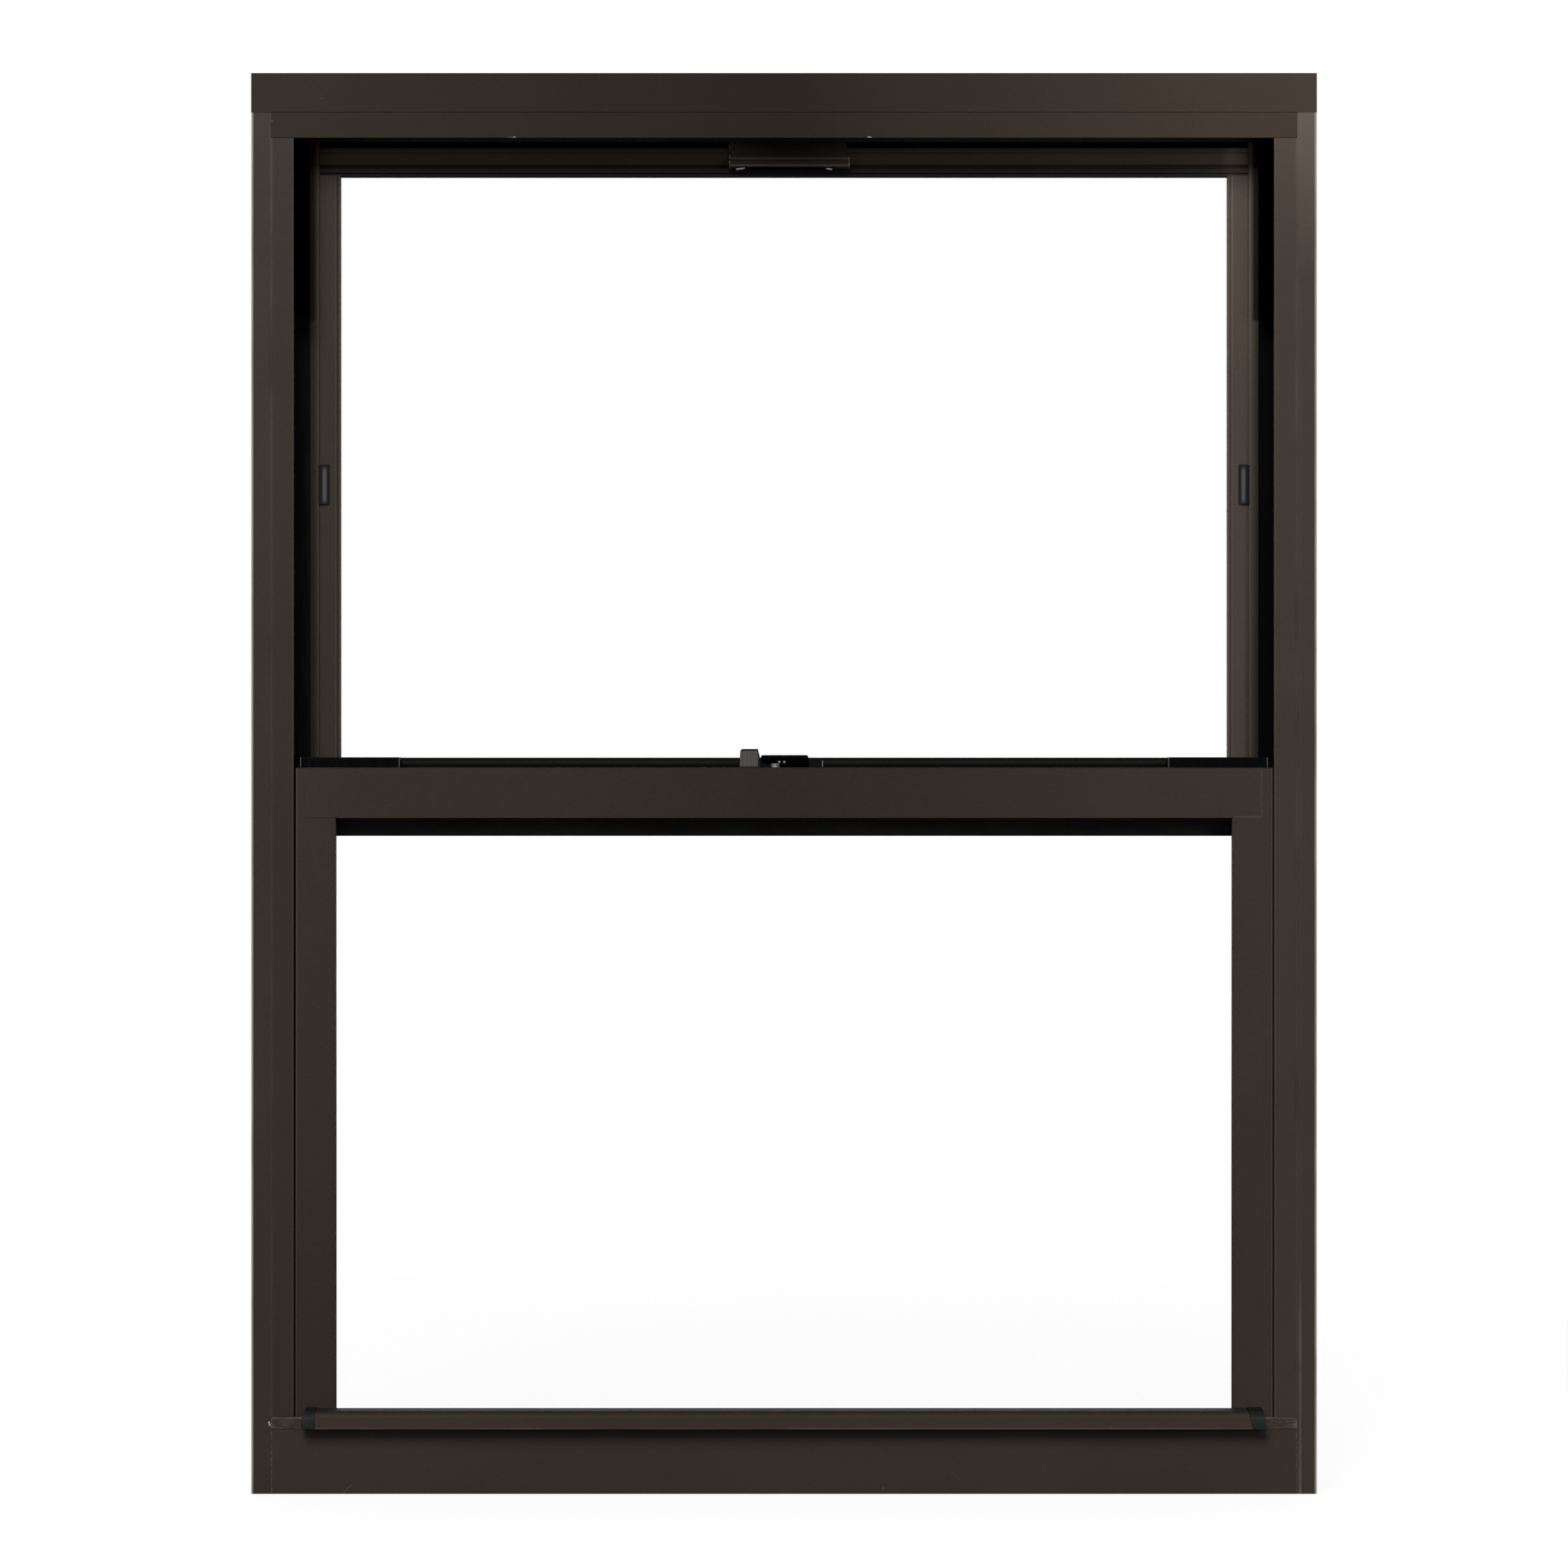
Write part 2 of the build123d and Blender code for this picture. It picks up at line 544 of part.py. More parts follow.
# Upper sash bottom rail, the rear one of the meeting pair, with the other half of the interlock
upper_glass_low = UPPER_SIGHT - POCKET
catch_z = hook_z - HOOK_H - 2 * HOOK_T
catch_y = UPPER_Y - hook_run
upper_bottom_outline = [
    (UPPER_Y, UPPER_BOTTOM), (UPPER_Y, catch_z), (catch_y, catch_z), (catch_y, catch_z + HOOK_H),
    (catch_y + HOOK_T, catch_z + HOOK_H), (catch_y + HOOK_T, catch_z + HOOK_T),
    (UPPER_Y, catch_z + HOOK_T), (UPPER_Y, UPPER_SIGHT - SIGHT_STEP_H),
    (UPPER_Y + SIGHT_STEP, UPPER_SIGHT - SIGHT_STEP_H), (UPPER_Y + SIGHT_STEP, UPPER_SIGHT),
    (UPPER_Y + SIGHT_STEP + LEG, UPPER_SIGHT), (UPPER_Y + SIGHT_STEP + LEG, upper_glass_low),
    (UPPER_BACK - LEG, upper_glass_low), (UPPER_BACK - LEG, UPPER_SIGHT - BACK_LEG_SHORT),
    (UPPER_BACK, UPPER_SIGHT - BACK_LEG_SHORT), (UPPER_BACK, UPPER_BOTTOM),
]
upper_bottom_void = rectangle(
    UPPER_Y + SASH_WALL, UPPER_BACK - SASH_WALL, UPPER_BOTTOM + SASH_WALL, upper_glass_low - SASH_WALL,
)
with BuildPart() as upper_bottom_rail:
    along_x(profile(upper_bottom_outline, [upper_bottom_void]), -UPPER_SEAM, UPPER_SEAM)
save(upper_bottom_rail.part, "upper_bottom_rail")


def four_bars(half, z0, z1, width, y0, y1, radius, nib=None):
    """Four bars around a pane, the top and bottom ones full width, inner room edges rounded.

    A nib, given by its outer x, its room face and its two ends, brings the upright bars' inner part
    forward and on past the other two bars.
    """
    inner = half - width
    nib_x, nib_y, *nib_ends = nib or (half, y0)
    for side in (-1, 1):
        upright = [(side * half, y1), (side * inner, y1), (side * inner, nib_y), (side * nib_x, nib_y)]
        if nib:
            upright += [(side * nib_x, y0), (side * half, y0)]
        section = profile(upright, (), [(side * inner, nib_y)], radius)
        along_z(section, z0 + width + JOINT, z1 - width - JOINT)
        if nib:
            tongue = rectangle(side * inner, side * nib_x, nib_y, y0 - JOINT)
            along_z(profile(tongue, (), [(side * inner, nib_y)], radius), *nib_ends)
    for low, high, edge in ((z0, z0 + width, z0 + width), (z1 - width, z1, z1 - width)):
        along_x(profile(rectangle(y0, y1, low, high), (), [(y0, edge)], radius), -half, half)


# Glazing of each sash: two panes on a spacer, beads on the room side and a gasket outside
sashes = {
    "lower": (LOWER_Y, lower_glass_low, lower_glass_top),
    "upper": (UPPER_Y, upper_glass_low, upper_glass_top),
}
glass_x = TUBE_IN - GLASS_EDGE
bead_half = TUBE_IN - BEAD_SLACK
for sash, (y0, low, high) in sashes.items():
    glass_z = (low + GLASS_EDGE, high - GLASS_EDGE)
    bead_z = (low + BEAD_SLACK, high - BEAD_SLACK)
    room_pane = (y0 + PANE_AT, y0 + PANE_AT + PANE)
    outer_pane = (y0 + PANE_AT + UNIT - PANE, y0 + PANE_AT + UNIT)
    with BuildPart() as inner_glass:
        block((-glass_x, glass_x), room_pane, glass_z)
    save(inner_glass.part, f"{sash}_inner_glass")
    with BuildPart() as outer_glass:
        block((-glass_x, glass_x), outer_pane, glass_z)
    save(outer_glass.part, f"{sash}_outer_glass")
    with BuildPart() as spacer:
        spacer_y = (room_pane[1] + JOINT, outer_pane[0] - JOINT)
        four_bars(glass_x - JOINT, glass_z[0] + JOINT, glass_z[1] - JOINT, SPACER_W, *spacer_y, EDGE_R)
    save(spacer.part, f"{sash}_spacer")
    with BuildPart() as bead:
        bead_y = (y0 + front_wall + JOINT, room_pane[0] - JOINT)
        nib = (FACE_IN - SEAM, y0 + BEAD_BACK, low + POCKET + SEAM, high - POCKET - SEAM)
        four_bars(bead_half, *bead_z, bead_half - DAYLIGHT, *bead_y, EDGE_R, nib)
    save(bead.part, f"{sash}_bead")
    with BuildPart() as gasket:
        gasket_y = (outer_pane[1] + JOINT, y0 + SASH_D - LEG - JOINT)
        four_bars(bead_half, *bead_z, GASKET_W, *gasket_y, EDGE_R)
    save(gasket.part, f"{sash}_gasket")

# Lift rail: a hooked aluminium strip along the lower bottom rail, reaching over the sill's dam
lift_half = SASH_X - LIFT_SET - CAP_L - JOINT
lift_y = LOWER_Y - JOINT
lift_front = lift_y - LIFT_REACH
lift_top = SILL_FACE + LIFT_UP
lift_low = SILL_FACE - LIFT_DOWN
nose_at = (lift_front + LIFT_NOSE, lift_top - LIFT_NOSE)
with BuildPart() as lift_rail:
    with BuildSketch(Plane.YZ.offset(-lift_half)):
        with BuildLine():
            flange = Line((lift_y, lift_top - LIFT_FLANGE), (lift_y, lift_top))
            Line(flange @ 1, (nose_at[0], lift_top))
            over = CenterArc(nose_at, LIFT_NOSE, 90, 90)
            lip = Polyline(over @ 1, (lift_front, lift_low), (lift_front + LIFT_T, lift_low))
            Line(lip @ 1, (lift_front + LIFT_T, nose_at[1]))
            under = CenterArc(nose_at, LIFT_NOSE - LIFT_T, 180, -90)
            Polyline(
                under @ 1, (lift_y - LIFT_T, lift_top - LIFT_T),
                (lift_y - LIFT_T, lift_top - LIFT_FLANGE), flange @ 0,
            )
        make_face()
    extrude(amount=2 * lift_half)
    crease = (nose_at[1] - LINE_W, nose_at[1])
    block((-lift_half, lift_half), (lift_front - WALL, lift_front + LINE_DEEP / 2), crease, Mode.SUBTRACT)
    with BuildSketch(Plane.XZ.offset(-LOWER_Y)):
        with BuildLine():
            Polyline((lift_half - LIFT_SLANT, lift_top), (lift_half, lift_low), (lift_half, lift_top), close=True)
        make_face()
    extrude(amount=LIFT_REACH + WALL, mode=Mode.SUBTRACT)
save(lift_rail.part, "lift_rail")

# End caps: black mouldings pushed over the cut ends of the lift rail
cap_low = lift_low
cap_front = lift_front - CAP_OVER
cap_top = lift_top + CAP_OVER
cap_nose = [(cap_front + LIFT_NOSE, cap_top), (cap_front, cap_top - LIFT_NOSE)]
cap_outline = [
    (lift_y, cap_top), *cap_nose, (cap_front, cap_low), (ROOM - CAP_CLEAR, cap_low),
    (ROOM - CAP_CLEAR, SILL_FACE + CAP_CLEAR), (lift_y, SILL_FACE + CAP_CLEAR),
]
cap_left = -lift_half - JOINT
cap_right = lift_half + JOINT
left_shape = [
    (cap_left, cap_low), (cap_left, cap_top), (cap_left - CAP_L + CAP_LEAN, cap_top),
    (cap_left - CAP_L, cap_top - CAP_SHOULDER), (cap_left - CAP_L, cap_low),
]
right_shape = [
    (cap_right, cap_low), (cap_right - LIFT_SLANT, cap_top), (cap_right + CAP_L - CAP_LEAN, cap_top),
    (cap_right + CAP_L, cap_low),
]
with BuildPart() as lift_end_caps:
    along_x(profile(cap_outline, (), cap_nose, CAP_R), cap_left - CAP_L, cap_left)
    along_x(profile(cap_outline, (), cap_nose, CAP_R), cap_right - LIFT_SLANT, cap_right + CAP_L)
    with BuildSketch(Plane.XZ.offset(-LOWER_Y)):
        for shape in (left_shape, right_shape):
            with BuildLine():
                Polyline(*shape, close=True)
            make_face()
    extrude(amount=LIFT_REACH + WALL, mode=Mode.INTERSECT)
save(lift_end_caps.part, "lift_end_caps")

# Head pull: a short length of J extrusion on the upper sash's top rail
pull_y = UPPER_Y - JOINT
pull_low = UPPER_RAIL_TOP - PULL_DOWN
pull_high = HEAD_POCKET - HEAD_CLEAR
pull_front = pull_y - PULL_REACH
pull_outline = [
    (pull_y, pull_high), (pull_y, pull_low), (pull_front, pull_low), (pull_front, pull_low + PULL_LIP),
    (pull_front + PULL_T, pull_low + PULL_LIP), (pull_front + PULL_T, pull_low + PULL_T),
    (pull_y - PULL_T, pull_low + PULL_T), (pull_y - PULL_T, pull_high),
]
with BuildPart() as head_pull:
    edges = [(pull_front, pull_low), (pull_front, pull_low + PULL_LIP)]
    pull_x = (PULL_SHIFT - PULL_L / 2, PULL_SHIFT + PULL_L / 2)
    along_x(profile(pull_outline, (), edges), *pull_x)
    line_z = pull_low + PULL_LINE_UP
    line_y = (pull_front - WALL, pull_front + PULL_T / 2)
    block(pull_x, line_y, (line_z, line_z + PULL_LINE), Mode.SUBTRACT)
    notch = (pull_x[1] - PULL_NOTCH, pull_x[1])
    block(notch, (pull_front - WALL, pull_y), (pull_low + PULL_LIP, pull_high), Mode.SUBTRACT)
save(head_pull.part, "head_pull")

# Pull spring: a strip of bare steel under the pull, its two ends bent down and showing
spring_flat = pull_low - JOINT - SPRING_T
with BuildPart() as pull_spring:
    tip = (SPRING_L / 2, spring_flat - SPRING_DROP)
    bend = (SPRING_L / 2 - SPRING_BEND, spring_flat)
    under = [(-tip[0], tip[1]), (-bend[0], bend[1]), bend, tip]
    over = [(x, z + SPRING_T) for x, z in reversed(under)]
    with BuildSketch(Plane.XZ.offset(-(pull_front + PULL_REACH / 2))):
        with BuildLine():
            Polyline(*under, *over, close=True)
        make_face()
    extrude(amount=SPRING_W / 2, both=True)
save(pull_spring.part, "pull_spring")

# Vent stops: crowned black buttons let into the upper stiles, which hold the lower sash part open
vent_back = UPPER_Y + VENT_RECESS - JOINT
vent_edge = UPPER_Y - VENT_PROUD
with BuildPart() as vent_stops:
    for middle in (-vent_x, vent_x):
        with BuildSketch(Plane.XY.offset(vent_z[0])):
            with BuildLine():
                left = middle - VENT_W / 2
                right = middle + VENT_W / 2
                Polyline((left, vent_edge), (left, vent_back), (right, vent_back), (right, vent_edge))
                ThreePointArc((right, vent_edge), (middle, vent_edge - VENT_BULGE), (left, vent_edge))
            make_face()
        extrude(amount=VENT_L)
save(vent_stops.part, "vent_stops")

# Tilt latches: black boxes on the lower sash's top rail, a nose of each in the track
latch_x = (-SASH_X + LATCH_SET, -SASH_X + LATCH_SET + LATCH_L)
latch_y = (LOWER_Y + LATCH_MARGIN, LOWER_BACK - LATCH_MARGIN)
latch_z = LOWER_TOP + JOINT
latch_top = latch_z + LATCH_H
latch_mid = (latch_y[0] + latch_y[1]) / 2
slide_x = latch_x[0] + SLIDE_AT
slide_y = (latch_mid - SLIDE_W / 2, latch_mid + SLIDE_W / 2)
slide_pitch = SLIDE_L / (SLIDE_RIBS + 0.5)
with BuildPart() as left_tilt_latch:
    block(latch_x, latch_y, (latch_z, latch_top))
    fillet(left_tilt_latch.edges().group_by(Axis.Z)[-1], EDGE_R)
    nose_y = (latch_mid - LATCH_NOSE_W / 2, latch_mid + LATCH_NOSE_W / 2)
    block((latch_x[0] - LATCH_NOSE, latch_x[0]), nose_y, (latch_z + EDGE_R, latch_z + LATCH_H / 2 + EDGE_R))
    slide_z = (latch_top - SLIDE_DEEP, latch_top + WALL)
    block((slide_x, slide_x + SLIDE_L), slide_y, slide_z, Mode.SUBTRACT)
    for rib in range(SLIDE_RIBS):
        rib_x = slide_x + (rib + 0.5) * slide_pitch
        block((rib_x, rib_x + slide_pitch / 2), slide_y, (latch_top - SLIDE_DEEP - JOINT, latch_top))
save(left_tilt_latch.part, "left_tilt_latch")
save_mirrored(left_tilt_latch, "right_tilt_latch")

# Sweep lock: a base plate with the cam's rounded housing, on the middle of the lower top rail
lock_y = (LOWER_Y + LOCK_SET, LOWER_Y + LOCK_SET + LOCK_W)
lock_z = LOWER_TOP + JOINT
house_z = lock_z + LOCK_BASE_T
house_y = (lock_y[0] + HOUSE_SET, lock_y[1] - EDGE_R)
with BuildPart() as lock_base:
    block((-LOCK_L / 2, LOCK_L / 2), lock_y, (lock_z, house_z))
    fillet(lock_base.edges().filter_by(Axis.Z), 2 * LOCK_BASE_T)
    house_x = (HOUSE_SHIFT - HOUSE_L / 2, HOUSE_SHIFT + HOUSE_L / 2)
    block(house_x, house_y, (house_z, house_z + HOUSE_H))
    fillet(lock_base.edges().group_by(Axis.Z)[-1], LOCK_BASE_T)
    wing_x = (house_x[1] - LOCK_BASE_T, LOCK_L / 2)
    block(wing_x, (lock_y[0] + EDGE_R, lock_y[1] - EDGE_R), (lock_z + EDGE_R, house_z + WING_H))
save(lock_base.part, "lock_base")

# Lock lever: a flat arm on a domed pivot, swept up into an upright ribbed thumb piece
lever_y = lock_y[0] - JOINT
lever_z = lock_z
arm_top = lever_z + ARM_H
slope_z = arm_top + SWEEP_R
lever_top = slope_z + LEVER_SLOPE
pivot_y = lever_y - PIVOT_R - JOINT
thumb_x0 = -LEVER_OUT
thumb_x1 = thumb_x0 + LEVER_W
rib_pitch = (LEVER_W - 2 * EDGE_R) / THUMB_RIBS
with BuildPart() as lock_lever:
    with BuildSketch(Plane.XZ.offset(-lever_y)):
        with BuildLine():
            Polyline(
                (PIVOT_X, arm_top), (PIVOT_X, lever_z), (thumb_x0, lever_z),
                (thumb_x0 + EDGE_R, lever_top - 2 * EDGE_R), (thumb_x0 + 3 * EDGE_R, lever_top),
                (thumb_x1 - EDGE_R, lever_top), (thumb_x1 + EDGE_R, slope_z),
            )
            sweep = CenterArc((thumb_x1 + EDGE_R + SWEEP_R, slope_z), SWEEP_R, 180, 90)
            Line(sweep @ 1, (PIVOT_X, arm_top))
        make_face()
    extrude(amount=LEVER_T)
    for rib in range(THUMB_RIBS):
        rib_x = thumb_x0 + EDGE_R + (rib + (1 - RIB_SHARE) / 2) * rib_pitch
        rib_y = lever_y - LEVER_T
        rib_z = (lever_z + EDGE_R, lever_top - 2 * EDGE_R)
        block((rib_x, rib_x + RIB_SHARE * rib_pitch), (rib_y - EDGE_R, rib_y + JOINT), rib_z)
    with Locations((PIVOT_X, pivot_y, lever_z + ARM_H / 2)):
        Cylinder(PIVOT_R, ARM_H)
    with Locations((PIVOT_X, pivot_y, arm_top + EDGE_R / 2)):
        Cone(PIVOT_R, PIVOT_R - EDGE_R, EDGE_R)
save(lock_lever.part, "lock_lever")

# Keeper: the hooked plate on the upper bottom rail that the lock's cam turns under
keeper_y = UPPER_Y - JOINT
keeper_x = (-KEEPER_L / 2, KEEPER_L / 2)
keeper_top = UPPER_SIGHT - SIGHT_STEP_H
with BuildPart() as lock_keeper:
    block(keeper_x, (keeper_y - KEEPER_T, keeper_y), (keeper_top - KEEPER_H, keeper_top))
    hook_y = (keeper_y - KEEPER_T - SASH_WALL, keeper_y - KEEPER_T)
    block(keeper_x, hook_y, (keeper_top - SASH_WALL, keeper_top))
save(lock_keeper.part, "lock_keeper")
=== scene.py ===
"""A double hung window in dark bronze aluminium, dressed for a plain studio picture."""
import math

import bpy
import numpy as np
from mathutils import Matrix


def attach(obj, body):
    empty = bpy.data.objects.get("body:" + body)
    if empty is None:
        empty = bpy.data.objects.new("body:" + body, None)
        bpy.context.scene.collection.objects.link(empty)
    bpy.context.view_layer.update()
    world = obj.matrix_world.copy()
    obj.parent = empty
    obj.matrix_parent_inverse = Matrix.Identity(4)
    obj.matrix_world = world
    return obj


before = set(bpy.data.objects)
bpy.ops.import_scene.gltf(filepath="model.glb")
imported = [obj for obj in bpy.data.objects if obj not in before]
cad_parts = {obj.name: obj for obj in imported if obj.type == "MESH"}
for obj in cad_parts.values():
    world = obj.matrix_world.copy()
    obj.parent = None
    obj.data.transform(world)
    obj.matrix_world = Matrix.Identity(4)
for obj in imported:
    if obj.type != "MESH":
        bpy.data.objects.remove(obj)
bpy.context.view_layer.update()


# The head: one hollow aluminium extrusion over the full width, baked with a satin dark bronze
# paint. Its lower lip is coped between the jambs, and painted shade makes it darkest in the middle.
def node(tree, kind, inputs=None, **settings):
    """Add a node, set its properties, and link or set each named or numbered input."""
    made = tree.nodes.new(kind)
    for key, value in settings.items():
        setattr(made, key, value)
    for key, value in (inputs or {}).items():
        if isinstance(value, bpy.types.NodeSocket):
            tree.links.new(value, made.inputs[key])
        else:
            made.inputs[key].default_value = value
    return made


def start_finish(name):
    """A new material with its node tree, its shader and the piece's own coordinates in metres."""
    finish = bpy.data.materials.new(name)
    finish.use_nodes = True
    tree = finish.node_tree
    shader = tree.nodes["Principled BSDF"]
    place = node(tree, "ShaderNodeTexCoord").outputs["Object"]
    return finish, tree, shader, place


def noise(tree, place, scale, detail=2.0, stretch=None):
    """Noise of about 1/scale metres, squeezed along the axes by the factors in stretch."""
    if stretch is not None:
        place = node(tree, "ShaderNodeMapping", {"Vector": place, "Scale": stretch}).outputs["Vector"]
    found = node(tree, "ShaderNodeTexNoise", {"Vector": place, "Scale": scale, "Detail": detail})
    return found.outputs["Fac"]


def ramp(tree, value, low, high, to_low=0.0, to_high=1.0):
    """Take value from the range low..high to to_low..to_high, held at both ends."""
    found = node(tree, "ShaderNodeMapRange", {
        "Value": value, "From Min": low, "From Max": high, "To Min": to_low, "To Max": to_high,
    })
    return found.outputs["Result"]


def sum_of(tree, first, second):
    """Add two values."""
    return node(tree, "ShaderNodeMath", {0: first, 1: second}, operation="ADD").outputs[0]


def product(tree, *values):
    """Multiply several values."""
    result = values[0]
    for value in values[1:]:
        result = node(tree, "ShaderNodeMath", {0: result, 1: value}, operation="MULTIPLY").outputs[0]
    return result


def near(tree, value, centre, half):
    """1 where value is within half of centre, else 0."""
    found = node(tree, "ShaderNodeMath", {0: value, 1: centre, 2: half}, operation="COMPARE")
    return found.outputs[0]


def either_side(tree, value):
    """The distance from the middle, the same on the left and on the right."""
    return node(tree, "ShaderNodeMath", {0: value}, operation="ABSOLUTE").outputs[0]


def blend(tree, share, first, second):
    """Mix two colours by a share."""
    found = node(tree, "ShaderNodeMix", {0: share, 6: first, 7: second}, data_type="RGBA")
    return found.outputs[2]


def scaled(tree, colour, factor):
    """A colour made darker or lighter by a factor."""
    found = node(tree, "ShaderNodeVectorMath", {0: colour, "Scale": factor}, operation="SCALE")
    return found.outputs[0]


DARK_BRONZE = (0.0290, 0.0210, 0.0156, 1.0)
LIGHT_BRONZE = (0.0350, 0.0261, 0.0202, 1.0)
BARE_ALUMINIUM = (0.60, 0.565, 0.54, 1.0)
HALF_WIDTH = 0.46
ROOM_FACE_AT = -0.0494


def bared(tree, colour, share):
    """A colour with a share of bare aluminium showing through it."""
    return blend(tree, share, colour, BARE_ALUMINIUM)


def room_face(tree, axes):
    """1 on the frame's room face, falling to 0 just behind it."""
    return ramp(tree, axes["Y"], ROOM_FACE_AT + 0.0006, ROOM_FACE_AT)


def dress(finish, *names):
    """Give CAD nodes a finish."""
    for name in names:
        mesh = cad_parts[name].data
        mesh.materials.clear()
        mesh.materials.append(finish)


def bronze_paint(name, dark, light, painted_light, rough=0.36, gloss=0.14, marks=None):
    """Satin paint: two close browns in soft clouds, made lighter or darker at the left end, the middle
    and the right end by three factors as painted light and shade, with fine grain in colour and height.
    marks changes the colour where the paint is worn, soiled or chipped, and where light and shade are
    painted."""
    finish, tree, shader, place = start_finish(name)
    axes = node(tree, "ShaderNodeSeparateXYZ", {0: place}).outputs
    clouds = noise(tree, place, 7.0, 4.0)
    grain = noise(tree, place, 900.0, 2.0)
    colour = blend(tree, ramp(tree, sum_of(tree, clouds, grain), 0.7, 1.3), dark, light)
    # painted light and shade: the colour is scaled from the left end through the middle to the right end
    left_part = ramp(tree, axes["X"], -HALF_WIDTH, 0.0, painted_light[0], painted_light[1])
    right_part = ramp(tree, axes["X"], 0.0, HALF_WIDTH, 0.0, painted_light[2] - painted_light[1])
    colour = scaled(tree, colour, sum_of(tree, left_part, right_part))
    if marks is not None:
        colour = marks(tree, place, axes, colour)
    dust = ramp(tree, noise(tree, place, 330.0, 1.0), 0.80, 0.83, 0.0, 0.035)
    colour = bared(tree, colour, dust)
    bump = node(tree, "ShaderNodeBump", {"Height": grain, "Strength": 0.06, "Distance": 0.0004})
    tree.links.new(colour, shader.inputs["Base Color"])
    tree.links.new(ramp(tree, grain, 0.3, 0.7, rough - 0.05, rough + 0.06), shader.inputs["Roughness"])
    tree.links.new(bump.outputs["Normal"], shader.inputs["Normal"])
    shader.inputs["Specular IOR Level"].default_value = gloss
    return finish


def chipped(tree, axes, colour, chips):
    """Bare flecks in the room face: each is its x and z, its half width and half height in metres,
    and its share of bare metal."""
    room = room_face(tree, axes)
    for x, z, half_x, half_z, share in chips:
        fleck = product(tree, near(tree, axes["X"], x, half_x), near(tree, axes["Z"], z, half_z), room, share)
        colour = bared(tree, colour, fleck)
    return colour


HEAD_EDGE_AT = 1.1638
LIP_ENDS_AT = (0.30, 0.40)
HEAD_CHIPS = (
    (-0.2313, 1.1640, 0.0010, 0.0005, 0.5), (-0.2345, 1.1639, 0.0018, 0.0003, 0.12),
    (0.0734, 1.1640, 0.0016, 0.0005, 0.5), (-0.3970, 1.1975, 0.0005, 0.0005, 0.06),
    (-0.4393, 1.1778, 0.0005, 0.0007, 0.09),
)


def shaded_and_chipped_head(tree, place, axes, colour):
    """Painted shade under the lip that is deeper toward its ends, a pale lower edge, two chips in that
    edge and two faint flecks on the face."""
    room = room_face(tree, axes)
    edge = product(tree, ramp(tree, axes["Z"], HEAD_EDGE_AT + 0.0007, HEAD_EDGE_AT), room, 0.02)
    # painted shade under the lip, deeper toward its ends
    under = ramp(tree, either_side(tree, axes["X"]), *LIP_ENDS_AT, 0.8, 0.2)
    colour = scaled(tree, bared(tree, colour, edge), ramp(tree, room, 0.0, 1.0, under, 1.0))
    return chipped(tree, axes, colour, HEAD_CHIPS)


dress(
    bronze_paint("head_paint", DARK_BRONZE, LIGHT_BRONZE, (0.88, 0.53, 1.56), gloss=0.04, marks=shaded_and_chipped_head),
    "head",
)


# The jambs: hollow extrusions with open tracks, coped round the head's lip and the sill's ends.
# Two fine lines run down each room face with painted highlights along them, and a painted reflection
# runs down the outer corner as a thin line of bare metal.
COPE_AT = 0.4400
JAMB_EDGE_AT = 0.4572
JAMB_INNER_AT = 0.4203
SILL_TOP_AT = 0.0660
JAMB_TOP_LIGHT_AT = (1.04, 1.175)
SMEARED_AT = (0.20, 0.12)


def by_side(tree, axes, left, right):
    """One value on the left half of the window and another on the right."""
    return ramp(tree, axes["X"], -0.1, 0.1, left, right)


